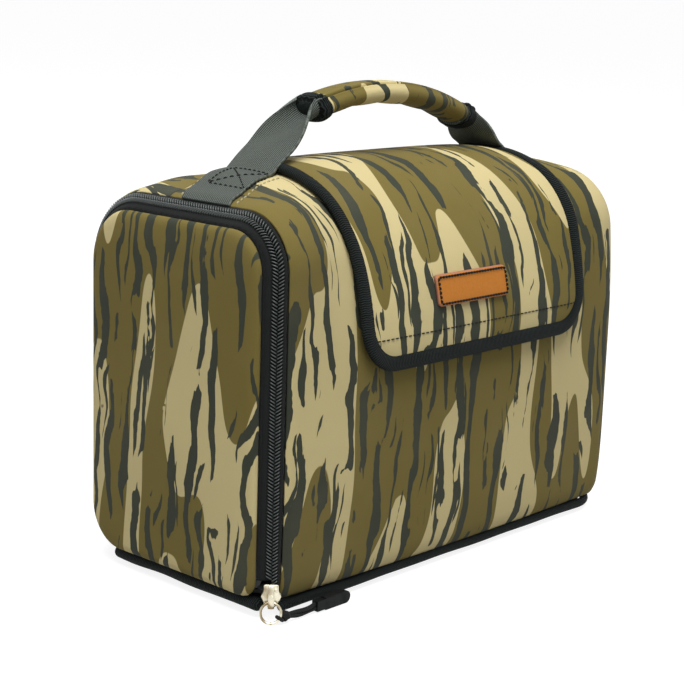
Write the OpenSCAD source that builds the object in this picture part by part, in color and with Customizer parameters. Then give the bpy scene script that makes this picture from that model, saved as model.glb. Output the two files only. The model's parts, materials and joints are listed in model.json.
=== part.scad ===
// Soft box bag: a foam-backed fabric sleeve with one closed end, a zip-round end panel,
// a front hatch under a bound flap, and a webbing handle with a wrapped grip.
// Millimetres. X runs along the bag (zip end at -X), the front is -Y, +Z is up.
// The origin is the middle of the base, on the surface that the bag stands on.

/* [Body] */
// Length from the zip's plane to the closed end
bag_l = 290; // [260:1:320]
// Width of the bag at its two ends
end_w = 146; // [136:1:156]
// Extra half width where the sides swell, at mid length
side_swell = 2; // [0:0.5:4]
// Height of the domed top at mid length
bag_h = 214; // [207:1:223]
// Height of the top at the two ends
end_h = 203; // [193:1:206]
// How far the top sinks behind the zip
zip_sag = 2.6; // [0:0.2:3]
// Thickness of the foam-backed fabric
wall_t = 5; // [3.5:0.5:6]
// Radius of the sleeve's front top edge at the zip end
top_r = 30.5; // [25:0.5:34]
// Radius of the sleeve's back top edge at the zip end
top_back_r = 40; // [36:1:46]
// Radius of the sleeve's long bottom edges
foot_r = 16; // [12:1:18]
// Radius that turns the sleeve into the closed end
end_r = 20; // [16:1:24]
// How far the closed end bulges
end_bulge = 3; // [1:0.5:5]
// Thickness of the lining
lining_t = 0.9; // [0.6:0.1:1.5]
// Thickness of the base panel at its edge
base_t = 5; // [4:0.5:6]
// How far the base panel sags below its edge
base_sag = 3; // [1:0.5:4]
// Thickness of the stiffening board
board_t = 2; // [1.5:0.5:3]
// Diameter of the ribbed binding round the base
base_binding_d = 5; // [4:0.5:5.5]

/* [Zip] */
// Distance from the sleeve's side and top in to the middle of the chain
zip_inset = 4.5; // [4:0.5:6]
// Length of one side's teeth, across the chain
tooth_l = 3.4; // [2.8:0.1:3.6]
// Distance between teeth of one side, along the chain
tooth_pitch = 2.5; // [2.2:0.1:4]
// Thickness of a tooth along the chain
tooth_w = 0.9; // [0.6:0.1:0.9]
// How far each side's teeth reach past the middle of the chain
tooth_mesh = 0.4; // [0.2:0.1:0.5]
// Height of a tooth above its tape
tooth_h = 1.6; // [1.2:0.1:2]
// Thickness of the zip tape
tape_t = 1; // [0.6:0.1:1.4]
// Visible width of the tape on the sleeve's side of the chain
body_tape_w = 4.3; // [4.1:0.1:4.6]
// Visible width of the tape on the panel's side of the chain
panel_tape_w = 7.5; // [6.5:0.1:7.7]
// Height at which the chain starts above the floor
zip_foot = 9.5; // [9:0.5:12]
// Height where the front end stops on the panel's side, clear of the slider
panel_zip_foot = 20; // [19.5:0.5:26]
// Height where the back end of the zip stops
zip_back_foot = 30; // [26:1:34]
// Thickness of the panel
panel_t = 5.4; // [4:0.2:6.4]
// Height of the panel's lower edge above the floor
panel_foot = 10; // [9.8:0.1:11]
// Radius of the panel's front bottom corner
panel_foot_r = 9; // [6:1:14]
// Radius of the panel's back bottom corner
panel_foot_back_r = 22; // [14:1:26]
// Diameter of the fabric roll that hinges the panel
hinge_d = 6.8; // [6:0.2:7.2]

/* [Slider and pull] */
// Length of the slider
slider_l = 12; // [11:0.5:13]
// Width of the slider
slider_w = 9.6; // [9.2:0.1:11]
// Height of the slider's lower end above the floor
slider_z = 7; // [6:0.5:7.5]
// Outer diameter of the pull ring
ring_d = 11.5; // [11:0.5:12]
// Diameter of the ring's wire
ring_wire = 1.3; // [1:0.1:1.5]
// Diameter of the cord, which runs doubled to the tab
cord_d = 2.4; // [2:0.1:2.8]
// Length of the moulded tab
tab_l = 24; // [18:1:28]
// Height of the moulded tab
tab_h = 6.4; // [5.6:0.1:7]
// Thickness of the moulded tab
tab_t = 4; // [3:0.2:4.4]

/* [Flap] */
// Width of the flap between the middles of its bindings
flap_w = 178; // [150:1:180]
// Place of the flap's middle along the bag
flap_x = 0; // [-2:1:4]
// Height of the middle of the binding along the flap's bottom edge
flap_foot = 120.5; // [110:0.5:130]
// Radius of the flap's bottom corners, at the middle of the binding
flap_r = 20; // [14:1:26]
// Thickness of the flap
flap_t = 3.4; // [2.6:0.2:3.6]
// Distance of the flap's hinge line in front of the middle of the bag
flap_hinge_y = 23; // [22:1:26]
// Width of the ribbed binding
binding_w = 8; // [6:0.5:9]
// Thickness of the ribbed binding
binding_t = 4.6; // [4:0.2:4.6]
// Width of the badge
badge_w = 58; // [50:1:62]
// Height of the badge
badge_h = 16; // [14:0.5:18]
// Height of the badge's middle above the floor
badge_z = 154; // [148:1:159]
// Thickness of the badge
badge_t = 1.8; // [1:0.2:2.4]
// Height of the hook and loop strips
strip_h = 18; // [14:1:20]
// Length of the hook and loop strips
strip_l = 110; // [80:1:120]
// Thickness of each strip
strip_t = 0.7; // [0.5:0.1:0.8]
// Length of the hatch along the bag
hatch_l = 128; // [100:1:134]
// Length of the hatch down the front
hatch_w = 58; // [46:1:60]

/* [Handle] */
// Width of the webbing
strap_w = 38; // [32:1:38]
// Thickness of the webbing
strap_t = 2; // [1.6:0.2:2.4]
// Width of the folded webbing where it enters the grip
neck_w = 15; // [12:0.5:16]
// Where the left strap leaves the top, measured from the middle of the bag
strap_left_x = 98; // [95:1:100]
// Where the right strap leaves the top
strap_right_x = 101; // [98:1:104]
// Length of webbing sewn to the top on the left
sewn_left = 41; // [30:1:41]
// Length of webbing sewn to the top on the right
sewn_right = 20; // [18:1:24]
// Length of the grip
grip_l = 128; // [124:1:132]
// Place of the grip's middle along the bag
grip_x = 6; // [4:1:7]
// Where the grip arches highest
grip_top_x = -6; // [-10:1:4]
// Height of the middle of the grip's section at the top of its arch
grip_z = 250.5; // [246:0.5:256]
// How far the arch drops over half the grip's length
grip_drop = 12.5; // [6:0.5:14]
// Width of the grip across the bag
grip_w = 24; // [20:1:26]
// Height of the grip's section
grip_h = 12.5; // [12:0.5:15]
// Thickness of the grip's wrap
wrap_t = 2.6; // [2:0.2:3]
// Width of the bindings at the grip's ends
grip_end_w = 6; // [5:0.5:8]

/* [Clearances] */
// Gap between soft pieces that lie on each other
seat = 0.3; // [0.2:0.05:0.4]

/* [Hidden] */

half_l = bag_l / 2;
half_w = end_w / 2;
mid_z = 108;                         // height of the centre that the sections are drawn round
dome_left = 65;                      // length over which the square zip end becomes a dome
top_power = 2.3;                     // roundness of the domed top
foot_power = 7;                      // roundness of the lower half
dome_power = 3.8;                    // how late the top falls towards the ends
end_x = half_l - end_bulge;          // where the closed end's face starts to bulge
turn_x = end_x - end_r;              // where the sleeve starts to turn into the closed end
seam_x = turn_x + 0.6 * end_r;       // seam of the sleeve and the closed end
foot_z = base_sag + base_t + 1;      // lower rim of the shells
seam_phi = 81;                       // direction of the seam along the top
zip_x = -half_l;
zip_hw = half_w - zip_inset;
zip_top = end_h - zip_inset;
zip_r = top_r - zip_inset;           // radius of the chain's front corner
zip_back_r = top_back_r - zip_inset; // and of its back corner
rim_x = zip_x + sqrt(0.5) * (body_tape_w + tooth_h / 2 + 0.1 + tape_t) + seat; // the sleeve's rim
hinge_out = 3;                       // the panel's hinge axis, out from the zip's plane
hinge_z = 6.9;                         // and above the floor
flap_hw = flap_w / 2;
flap_in = 1.35;                       // underside of the flap off the body at its hinge
flap_off = 2.5;                      // and at its bottom edge
board_z = base_sag + base_t + seat;
lining_z = board_z + board_t + seat; // underside of the lining's floor
strap_axis_z = 230;                  // height of the axis that the handle tilts about
strap_turn_r = 13.2;                  // radius of the strap's turning ends
$fn = 48;

// ---- Shape of the bag ----

function ease(t) = let (c = min(1, max(0, t))) c * c * (3 - 2 * c);
function unit(v) = v / norm(v);
function spread(a, b, n) = [for (i = [0:n]) a + (b - a) * i / n];
function reverse(list) = [for (i = [len(list) - 1:-1:0]) list[i]];

function half_w_at(x) = half_w + side_swell * (1 - pow(x / half_l, 2));
function top_at(x) = end_h + (bag_h - end_h) * (1 - pow(min(1, abs(x) / half_l), dome_power));
// Sinking of the outer skin behind the zip, which fades through the wall
function sag_at(x, t) =
    zip_sag * (1 - ease((x - rim_x - 9) / 20)) * (1 - min(1, max(0, t) / wall_t));
function dome_at(x) = ease((x - zip_x - 6) / dome_left) * (1 - 0.7 * ease((x - 50) / 80));

// A direction's distance to a rectangle of half sizes a and b with corners of radius r
function box_reach(c, s, a, b, r) =
    a * s <= (b - r) * c ? a / c :
    b * c <= (a - r) * s ? b / s :
    let (k = c * (a - r) + s * (b - r))
    k + sqrt(k * k - pow(a - r, 2) - pow(b - r, 2) + r * r);

// The same to a superellipse of power n
function oval_reach(c, s, a, b, n) = pow(pow(c / a, n) + pow(s / b, n), -1 / n);

// Inset of the skin at depth t, with the turn into the closed end
function inset_at(x, t) =
    x <= turn_x || t >= end_r ? t
    : end_r - sqrt(max(0, pow(end_r - t, 2) - pow(x - turn_x, 2)));

function reach(x, phi, t) =
    let (
        d = inset_at(x, t),
        c = abs(cos(phi)),
        s = abs(sin(phi)),
        up = sin(phi) >= 0,
        a = half_w_at(x) - d,
        b = (up ? top_at(x) - sag_at(x, t) - mid_z : mid_z) - d,
        r = max(1, (!up ? foot_r : cos(phi) < 0 ? top_r : top_back_r) - d),
        k = up ? dome_at(x) : 0.5
    )
    (1 - k) * box_reach(c, s, a, b, r) + k * oval_reach(c, s, a, b, up ? top_power : foot_power);

// A point of the bag's skin at depth t (negative is outside): phi is 0 at the back, 90 up
function skin(x, phi, t) =
    let (r = reach(x, phi, t)) [x, r * cos(phi), mid_z + r * sin(phi)];

// The skin's outward normal, across the bag
function skin_normal(x, phi) =
    unit(cross(skin(x, phi + 1, 0) - skin(x, phi - 1, 0), [1, 0, 0]));

// Direction of the skin's point at height z on the front
function front_phi(x, z, t, y = -half_w, n = 6) =
    n == 0 ? atan2(z - mid_z, y)
           : let (p = atan2(z - mid_z, y)) front_phi(x, z, t, reach(x, p, t) * cos(p), n - 1);

function foot_phi(x, side) = atan2(foot_z - mid_z, side * (half_w_at(x) - 3.5));

// ---- Lofts ----

// A solid through closed rings that all have the same number of points. A folded ring runs out
// along one face and back along the other, so its end caps are strips of quads
module loft(rings, folded = false) {
    n = len(rings[0]);
    m = len(rings);
    cap = folded ? [for (i = [0:n / 2 - 2]) [i, i + 1, n - 2 - i, n - 1 - i]] : [[for (i = [0:n - 1]) i]];
    polyhedron(
        points = [for (r = rings) each r],
        faces = concat(
            cap,
            [for (j = [0:m - 2]) for (i = [0:n - 1]) let (a = j * n + i, b = j * n + (i + 1) % n)
                each [[a, a + n, b], [b, a + n, b + n]]],
            [for (f = cap) [for (i = reverse(f)) (m - 1) * n + i]]
        ),
        convexity = 8
    );
}

// One ring of a layer of the skin at x, between two depths
function layer(x, phis, t_out, t_in) =
    concat([for (p = phis) skin(x, p, t_out)], [for (p = reverse(phis)) skin(x, p, t_in)]);

// A tube along path, with an oval section that stands on the skin's normals
module tube(path, normals, across, thick, sides = 8) {
    last = len(path) - 1;
    loft([for (i = [0:last])
        let (
            t = unit(path[min(last, i + 1)] - path[max(0, i - 1)]),
            b = unit(cross(t, normals[i])),
            n = cross(b, t)
        )
        [for (k = [0:sides - 1]) let (a = -360 * (k + 0.5) / sides)
            path[i] + b * across / 2 * cos(a) + n * thick / 2 * sin(a)]
    ]);
}

// Closed ring of the bag's outline at x, no lower than floor_z
function outline(x, t, floor_z) =
    [for (i = [0:47]) let (p = skin(x, i * 7.5, t)) [p.x, p.y, max(floor_z, p.z)]];

// ---- Sleeve, closed end and base ----

shell_stations = concat(
    [[rim_x, 0.9], [rim_x + 1.4, 0.3], [rim_x + 4, 0]],
    [for (x = concat(spread(rim_x + 14, -half_l / 2, 4), spread(-half_l / 4, half_l / 2, 3),
        spread(turn_x - 24, seam_x, 5))) [x, 0]]
);

module shell(phi_a, phi_b, foot_side, steps) {
    loft([for (s = shell_stations)
        let (a = phi_a == undef ? foot_phi(s.x, foot_side) : phi_a,
             b = phi_b == undef ? foot_phi(s.x, foot_side) + 360 : phi_b)
        layer(s.x, spread(a, b, steps), s.y, wall_t)], folded = true);
}

module hatch_prism(grow, depth = 60) {
    translate([flap_x, -52, 181]) rotate([-35, 0, 0]) rotate([90, 0, 0])
        translate([0, 0, -depth / 2]) linear_extrude(depth) offset(r = 10 + grow)
            square([hatch_l - 20, hatch_w - 20], center = true);
}

module front_shell() {
    color("#8a7a48") difference() {
        shell(seam_phi + 0.1, undef, -1, 22);
        hatch_prism(0);
    }
}

module back_shell() {
    color("#8a7a48") shell(undef, seam_phi - 0.1, 1, 17);
}

module closed_end_panel() {
    start = seam_x + seat;
    turn = spread(start, end_x - 0.8, 3);
    inner = spread(start, turn_x + 0.96 * (end_r - wall_t), 2);
    color("#8a7a48") loft(concat(
        [outline(end_x - wall_t + end_bulge, end_r + 30, foot_z)],
        [for (x = reverse(inner)) outline(x, wall_t, foot_z)],
        [for (x = turn) outline(x, 0, foot_z)],
        [outline(end_x + end_bulge, end_r + 30, foot_z)]
    ));
}

// Closed ring of the base's outline, inset, at height z
function base_ring(inset, z) =
    let (
        r = 20,
        x0 = zip_x + 2 + inset + r,
        x1 = end_x - 9 - inset - r,
        y = half_w - 7.5 - inset - r,
        corners = [[x1, y, 0], [x0, y, 90], [x0, -y, 180], [x1, -y, 270]]
    )
    [for (c = corners) for (a = spread(0, 90, 5))
        [c[0] + r * cos(c[2] + a), c[1] + r * sin(c[2] + a), z]];

module base_panel() {
    top = base_sag + base_t;
    color("#23282a") loft([base_ring(0, top), base_ring(0, base_sag + 1),
        base_ring(8, base_sag * 0.4), base_ring(20, 0)]);
}

module base_board() {
    color("#3a3a3a") loft([base_ring(1, board_z + board_t), base_ring(1, board_z)]);
}

// The binding round the base, open at the zip end
module base_binding() {
    r = base_binding_d / 2;
    y = end_w / 2 - r - 1.6;
    x0 = zip_x + 6;
    x1 = end_x - r - 3;
    bend = 24;
    color("#20292b") translate([0, 0, base_sag + r]) {
        for (s = [-1, 1]) {
            translate([x0, s * y, 0]) rotate([0, 90, 0]) cylinder(h = x1 - bend - x0, r = r);
            translate([x1 - bend, s * (y - bend), 0]) rotate([0, 0, s > 0 ? 0 : -90])
                rotate_extrude(angle = 90) translate([bend, 0]) circle(r);
        }
        translate([x1, y - bend, 0]) rotate([90, 0, 0]) cylinder(h = 2 * (y - bend), r = r);
    }
}

module top_seam() {
    phis = spread(seam_phi - 2.2, seam_phi + 2.2, 2);
    runs = [[-strap_left_x + 4, strap_right_x - 4, 6], [strap_right_x + sewn_right + 1, seam_x, 4]];
    color("#6d6138") for (run = runs) loft([for (x = spread(run.x, run.y, run.z))
        layer(x, phis, -seat - 1, -seat - 0.1)], folded = true);
}

// One skin that lines the sleeve and the closed end
module sleeve_lining() {
    t = wall_t + 1.7;
    xs = concat([rim_x + 1], spread(rim_x + 20, turn_x, 6));
    turn = spread(turn_x + 6, turn_x + 0.97 * (end_r - t), 2);
    deep = end_x + end_bulge - t;
    color("#9aa0a0") difference() {
        loft(concat(
            [outline(deep - lining_t, end_r + 30, lining_z + lining_t)],
            [for (x = reverse(concat(xs, turn)))
                outline(x - (x > turn_x + 8 ? lining_t : 0), t + lining_t, lining_z + lining_t)],
            [for (x = concat(xs, turn)) outline(x, t, lining_z)],
            [outline(deep, end_r + 30, lining_z)]
        ));
        hatch_prism(0);
    }
}

module hatch_binding() {
    color("#20292b") intersection() {
        loft([for (x = spread(flap_x - hatch_l / 2 - 6, flap_x + hatch_l / 2 + 6, 6))
            layer(x, spread(98, 160, 12), -seat - 0.7, -seat - 0.35)], folded = true);
        difference() {
            hatch_prism(4);
            hatch_prism(-0.5, 80);
        }
    }
}

// A strip on the front between two depths
module front_strip(x0, x1, z0, z1, t_out, t_in, steps = 3) {
    loft([for (x = spread(x0, x1, 4))
        layer(x, spread(front_phi(x, z1, t_out), front_phi(x, z0, t_out), steps), t_out, t_in)],
        folded = true);
}

strip_z = flap_foot + 6;

module flap_loop_strip() {
    color("#15181a") front_strip(flap_x - strip_l / 2, flap_x + strip_l / 2, strip_z,
        strip_z + strip_h, -seat - strip_t, -seat);
}

// ---- Zip ----

zip_front = zip_top - zip_r - zip_foot;
panel_short = panel_zip_foot - zip_foot;
zip_turn = 90 * PI / 180 * zip_r;
zip_across = 2 * zip_hw - zip_r - zip_back_r;
zip_back_turn = 90 * PI / 180 * zip_back_r;
zip_back = zip_top - zip_back_r - zip_back_foot;
zip_length = zip_front + zip_turn + zip_across + zip_back_turn + zip_back;

// The loop at length s: [y, z, direction of its outward side]
function zip_at(s) =
    let (s2 = s - zip_front, s3 = s2 - zip_turn, s4 = s3 - zip_across, s5 = s4 - zip_back_turn)
    s2 <= 0 ? [-zip_hw, zip_foot + s, 180] :
    s3 <= 0 ? zip_corner(-1, zip_r, 180 - 90 * s2 / zip_turn) :
    s4 <= 0 ? [-zip_hw + zip_r + s3, zip_top, 90] :
    s5 <= 0 ? zip_corner(1, zip_back_r, 90 - 90 * s4 / zip_back_turn) :
    [zip_hw, zip_top - zip_back_r - s5, 0];
function zip_corner(side, r, a) =
    [side * (zip_hw - r) + r * cos(a), zip_top - r + r * sin(a), a];

// Sweeps a flat shape round the loop: its x points out of the loop, its y out of the bag's end
module round_zip(short = 0) {
    front = zip_hw - zip_r;
    back = zip_hw - zip_back_r;
    translate([zip_x, 0, 0]) {
        multmatrix([[0, -1, 0, 0], [-1, 0, 0, -zip_hw], [0, 0, -1, zip_top - zip_r]])
            linear_extrude(zip_front - short) children();
        multmatrix([[0, -1, 0, 0], [1, 0, 0, zip_hw], [0, 0, 1, zip_back_foot]])
            linear_extrude(zip_back) children();
        multmatrix([[0, -1, 0, 0], [0, 0, -1, back], [1, 0, 0, zip_top]])
            linear_extrude(front + back) children();
        multmatrix([[0, 0, -1, 0], [-1, 0, 0, -front], [0, 1, 0, zip_top - zip_r]])
            rotate_extrude(angle = 90) translate([zip_r, 0]) children();
        multmatrix([[0, 0, -1, 0], [0, 1, 0, back], [1, 0, 0, zip_top - zip_back_r]])
            rotate_extrude(angle = 90) translate([zip_back_r, 0]) children();
    }
}

// The tape's section on one side of the chain: it lies at 45 degrees across the bag's edge
module tape_section(side, width) {
    rotate(-45) translate([side > 0 ? tooth_mesh : -width, -tooth_h / 2 - 0.1 - tape_t])
        square([width - tooth_mesh, tape_t]);
}

module teeth(side, first, shift) {
    count = floor((zip_length - tooth_pitch) / tooth_pitch);
    for (i = [first:count - 1]) {
        p = zip_at((i + 0.5 + shift) * tooth_pitch);
        translate([zip_x, p[0], p[1]]) rotate([p[2], 0, 0])
            multmatrix([[0, -1, 0, 0], [1, 0, 0, 0], [0, 0, 1, 0]]) rotate([0, 0, -45])
            translate([side > 0 ? -tooth_mesh : tooth_mesh - tooth_l, -tooth_h / 2, -tooth_w / 2])
                linear_extrude(tooth_w) polygon([[0, 0], [tooth_l, 0], [side > 0 ? 0 : tooth_l, tooth_h]]);
    }
}

module zip_tape_body() {
    color("#181c1e") round_zip() tape_section(1, body_tape_w);
}

module zip_teeth_body() {
    color("#1c2022") teeth(1, 0, 0);
}

module zip_tape_panel() {
    color("#181c1e") round_zip(panel_short) tape_section(-1, panel_tape_w);
}

module zip_teeth_panel() {
    color("#1c2022") teeth(-1, ceil(panel_short / tooth_pitch), 0.5);
}

// ---- End panel ----

// The panel's outline, inset from the chain, at a distance out of the zip's plane
function panel_ring(inset, out) =
    let (
        hw = zip_hw - inset,
        top = zip_top - inset,
        low = panel_foot + 0.3 * (inset - 6),
        corners = [[1, top, max(3, zip_back_r - inset), 0], [-1, top, max(3, zip_r - inset), 90],
                   [-1, low, panel_foot_r, 180], [1, low, panel_foot_back_r, 270]]
    )
    [for (c = corners) for (a = spread(0, 90, 6))
        [zip_x - out, c[0] * (hw - c[2]) + c[2] * cos(c[3] + a),
         c[1] + c[2] * (sin(c[3] + a) - (c[3] < 180 ? 1 : -1))]];

module zip_panel() {
    face = [[6.1, 5.6], [7.4, 7.6], [11, 8.9], [18, 9.8], [45, 10.6]];
    back = [for (p = [[45, 10.6], [18, 9.8], [9.6, 7.9]]) [p[0], p[1] - panel_t]];
    color("#8a7a48") loft([for (p = reverse(concat(back, face))) panel_ring(p[0], p[1])]);
}

module panel_lining() {
    back = [[45, 10.6], [18, 9.8], [10.4, 8]];
    depth = panel_t + seat;
    color("#9aa0a0") loft([for (p = reverse(concat(
        [for (q = back) [q[0], q[1] - depth - lining_t]],
        [for (q = reverse(back)) [q[0] - 0.4, q[1] - depth]]))) panel_ring(p[0], p[1])]);
}

// The ribbed fabric roll that the panel turns on
module panel_hinge_roll() {
    front = panel_foot_r - zip_hw;
    back = zip_hw - panel_foot_back_r;
    color("#20292b") translate([zip_x - hinge_out, 0, hinge_z]) {
        translate([0, back, 0]) rotate([90, 0, 0]) cylinder(h = back - front, d = hinge_d);
        for (y = [front, back]) translate([0, y, 0]) sphere(d = hinge_d);
    }
}

// ---- Slider, ring and pull ----

slider_mid = slider_z + slider_l / 2;
plate_y = tooth_h / 2 + seat;        // underside of the slider's plate, out from the chain
plate_t = 1.3;
bridge_y = plate_y + plate_t;        // top of the plate, under the bridge
bridge_gap = ring_wire + 0.8;        // room for the ring under the bridge
ring_r = (ring_d - ring_wire) / 2;
ring_y = bridge_y + bridge_gap / 2;  // where the ring's wire passes under the bridge
ring_z = slider_mid - 2.8;         // and its height
ring_lean = 25;                      // how far the ring leans out at rest

// Places its children on the chain at height z: y points out of the chain, x to the panel
module on_chain(z) {
    translate([zip_x, -zip_hw, z]) rotate([0, 0, 135]) children();
}

module zip_slider() {
    w = slider_w / 2;
    h = slider_l / 2;
    flange = 0.8;
    color("#d8d4cc") on_chain(slider_mid) {
        // plate: a shield, wider at the end that the chain enters
        translate([0, plate_y + plate_t, 0]) rotate([90, 0, 0]) linear_extrude(plate_t)
            offset(r = 1) polygon([[-w + 1, h - 1], [w - 1, h - 1], [w - 1, -h / 3],
                [w / 2, -h + 1], [-w / 2, -h + 1], [-w + 1, -h / 3]]);
        for (s = [-1, 1]) translate([s * (w - flange / 2), plate_y / 2 - 0.1, h / 3])
            cube([flange, plate_y + 0.2, h], center = true);
        // bridge that the ring hangs under
        for (s = [-1, 1]) translate([0, bridge_y + bridge_gap / 2, ring_z - slider_mid + s * 2.4])
            cube([2.2, bridge_gap + 0.4, 1.2], center = true);
        translate([0, bridge_y + bridge_gap + 0.5, ring_z - slider_mid])
            cube([2.2, 1, 6], center = true);
    }
}

// Places its children at the ring's middle, with the ring's plane across their z
module on_ring_plane() {
    on_chain(ring_z) translate([0, ring_y, 0]) rotate([ring_lean, 0, 0])
        translate([0, 0, -ring_r]) rotate([90, 0, 0]) children();
}

module pull_ring() {
    color("#d8d4cc") on_ring_plane() rotate_extrude() translate([ring_r, 0])
        circle(d = ring_wire, $fn = 24);
}

// The cord is looped round the ring's low side and knotted there
knot_d = 4.4;
knot_cord_d = 1.6;
knot_a = -150;                       // place of the loop round the ring
eye_r = ring_wire / 2 + seat + knot_cord_d / 2;
out = [-sqrt(0.5), -sqrt(0.5), 0];   // out of the chain
along = [sqrt(0.5), -sqrt(0.5), 0];  // across the chain, towards the front
knot = [zip_x, -zip_hw, ring_z] + out * (ring_y + ring_r * (1 - sin(knot_a)) * sin(ring_lean))
    - along * ring_r * cos(knot_a) - [0, 0, ring_r * (1 - sin(knot_a)) * cos(ring_lean)];
knot_ball = knot + [eye_r + knot_d / 2, 0, 0.4];
tab_y = knot.y - 0.8;
tab_x = knot.x + 24;
tab_z = 0.6;                         // the tab's underside above the floor

module pull_knot() {
    color("#17191a") {
        on_ring_plane() rotate([0, 0, knot_a]) translate([ring_r, 0, 0]) rotate([90, 0, 0])
            rotate_extrude() translate([eye_r, 0]) circle(d = knot_cord_d, $fn = 24);
        translate(knot_ball) sphere(d = knot_d, $fn = 24);
    }
}

module pull_cord() {
    start = knot_ball + [knot_d / 2 + seat, 0, 0];
    stop = [tab_x - seat, tab_y, tab_h / 2 + tab_z];
    path = [for (t = spread(0, 1, 8)) start + (stop - start) * t + [0, -0.6 * sin(180 * t), 0]];
    color("#17191a") tube(path, [for (p = path) [0, 0, 1]], cord_d, 1.9 * cord_d);
}

module pull_tab() {
    r = tab_h / 2;
    color("#131516") translate([tab_x, tab_y, r + tab_z]) rotate([90, 0, 0])
        translate([0, 0, -tab_t / 2]) linear_extrude(tab_t) {
            translate([0, -r + 0.5]) square([tab_l - r, tab_h - 1]);
            translate([tab_l - r, 0]) circle(r);
            translate([6, -r]) square([tab_l - r - 6, tab_h]);
        }
}

// ---- Flap ----

flap_slab_hw = flap_hw - binding_w / 2 - seat;
flap_axis_phi = atan2(bag_h - mid_z - 3, -flap_hinge_y);
root_back_phi = seam_phi + 3.5;

// Depth of the flap's underside at a direction: it lies closer at the hinge
function flap_depth(phi) = -flap_in - (flap_off - flap_in) * ease((phi - 120) / 45);

// How far the bottom edge rises at x, for a corner of radius r on a half width hw
function corner_rise(x, hw, r) =
    let (d = max(0, abs(x - flap_x) - hw + r)) r - sqrt(max(0, r * r - d * d));

module flap_shell() {
    hw = flap_slab_hw;
    r = flap_r - binding_w / 2;
    low = flap_foot + binding_w / 2 + seat;
    side = [for (a = spread(12, 90, 3)) hw - r + r * cos(90 - a)];
    xs = concat([for (d = reverse(side)) flap_x - d], spread(flap_x - hw + r, flap_x + hw - r, 4),
        [for (d = side) flap_x + d]);
    color("#8a7a48") loft([for (x = xs)
        let (
            foot = front_phi(x, low + corner_rise(x, hw, r), -flap_off),
            phis = spread(flap_axis_phi + 0.3, foot, 12)
        )
        concat([for (p = phis) skin(x, p, flap_depth(p) - flap_t)],
            [for (p = reverse(phis)) skin(x, p, flap_depth(p))])], folded = true);
}

// The middle of the binding, down one side, along the bottom and up the other side
function flap_edge() =
    let (
        turn = flap_foot + flap_r,
        left = flap_x - flap_hw,
        right = flap_x + flap_hw,
        down = spread(flap_axis_phi + 0.3, front_phi(left, turn, -flap_off), 12),
        arc = spread(15, 90, 5)
    )
    concat(
        [for (p = down) [left, p]],
        [for (a = arc) flap_corner(-1, a)],
        [for (x = spread(flap_x - flap_hw + flap_r, flap_x + flap_hw - flap_r, 6))
            if (abs(x - flap_x) < flap_hw - flap_r - 1) [x, front_phi(x, flap_foot, -flap_off)]],
        [for (a = reverse(arc)) flap_corner(1, a)],
        [for (p = reverse(down)) [right, p]]
    );
function flap_corner(side, a) =
    let (
        x = flap_x + side * (flap_hw - flap_r + flap_r * cos(a)),
        z = flap_foot + flap_r - flap_r * sin(a)
    )
    [x, front_phi(x, z, -flap_off)];

module flap_binding() {
    edge = flap_edge();
    color("#20292b") tube(
        [for (e = edge) skin(e[0], e[1], flap_depth(e[1]) - flap_t / 2)],
        [for (e = edge) skin_normal(e[0], e[1])], binding_w, binding_t);
}

module flap_hook_strip() {
    color("#15181a") front_strip(flap_x - strip_l / 2, flap_x + strip_l / 2, strip_z + 1,
        strip_z + strip_h - 1, -2 * seat - 2 * strip_t, -2 * seat - strip_t);
}

module flap_badge() {
    out = flap_off + flap_t + 0.1;
    color("#c8763a") front_strip(flap_x - 8.5 - badge_w / 2, flap_x - 8.5 + badge_w / 2,
        badge_z - badge_h / 2, badge_z + badge_h / 2, -out - badge_t, -out);
}

// The part of the flap that stays sewn to the top, under the handle
module flap_root() {
    phis = spread(root_back_phi, flap_axis_phi - 0.1, 4);
    color("#8a7a48") loft([for (x = spread(flap_x - flap_slab_hw, flap_x + flap_slab_hw, 8))
        layer(x, phis, -seat - flap_t, -seat)], folded = true);
}

module flap_root_bindings() {
    t = -seat - flap_t / 2;
    color("#20292b") for (s = [-1, 1]) {
        x = flap_x + s * flap_hw;
        phis = spread(root_back_phi, flap_axis_phi - 0.1, 5);
        tube([for (p = phis) skin(x, p, t)], [for (p = phis) skin_normal(x, p)],
            binding_w, flap_t);
    }
}

// ---- Handle ----

grip_hl = grip_l / 2;
neck_left = grip_x - grip_hl + 1;    // where the straps enter the grip
neck_right = grip_x + grip_hl - 1;
function grip_mid(x) = grip_z - grip_drop * pow((x - grip_top_x) / grip_hl, 2);

// A ring of webbing at x: it lies on the top up to leave_x, then rises to neck_x
function strap_ring(x, leave_x, neck_x) =
    let (
        u = max(0, (x - leave_x) / (neck_x - leave_x)),
        flat = ease(u * 3),
        wide = 1 - (1 - neck_w / strap_w) * ease(u * 1.3 - 0.25),
        crest = skin(x, 90, -seat).z,
        rise = (grip_mid(neck_x) - skin(leave_x, 90, -seat).z - 0.8 * strap_t) * u,
        drop = (skin(leave_x, 90, -seat).z - crest) * ease(u),
        thick = strap_t * (1 + 0.35 * ease(u * 3)),
        spread_phi = atan(strap_w / 2 / (top_at(x) - mid_z)),
        phis = spread(90 - spread_phi, 90 + spread_phi, 6),
        under = [for (p = phis) let (s = skin(x, p, -seat))
            [x, s.y * wide, s.z + (crest - s.z) * flat + rise + drop]]
    )
    concat([for (p = under) p + [0, 0, thick]], reverse(under));

module strap(from_x, leave_x, neck_x) {
    xs = concat(spread(from_x, leave_x, 3), spread(leave_x + (neck_x - leave_x) / 8, neck_x, 8));
    loft([for (x = (neck_x > from_x ? xs : reverse(xs))) strap_ring(x, leave_x, neck_x)],
        folded = true);
}

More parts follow.
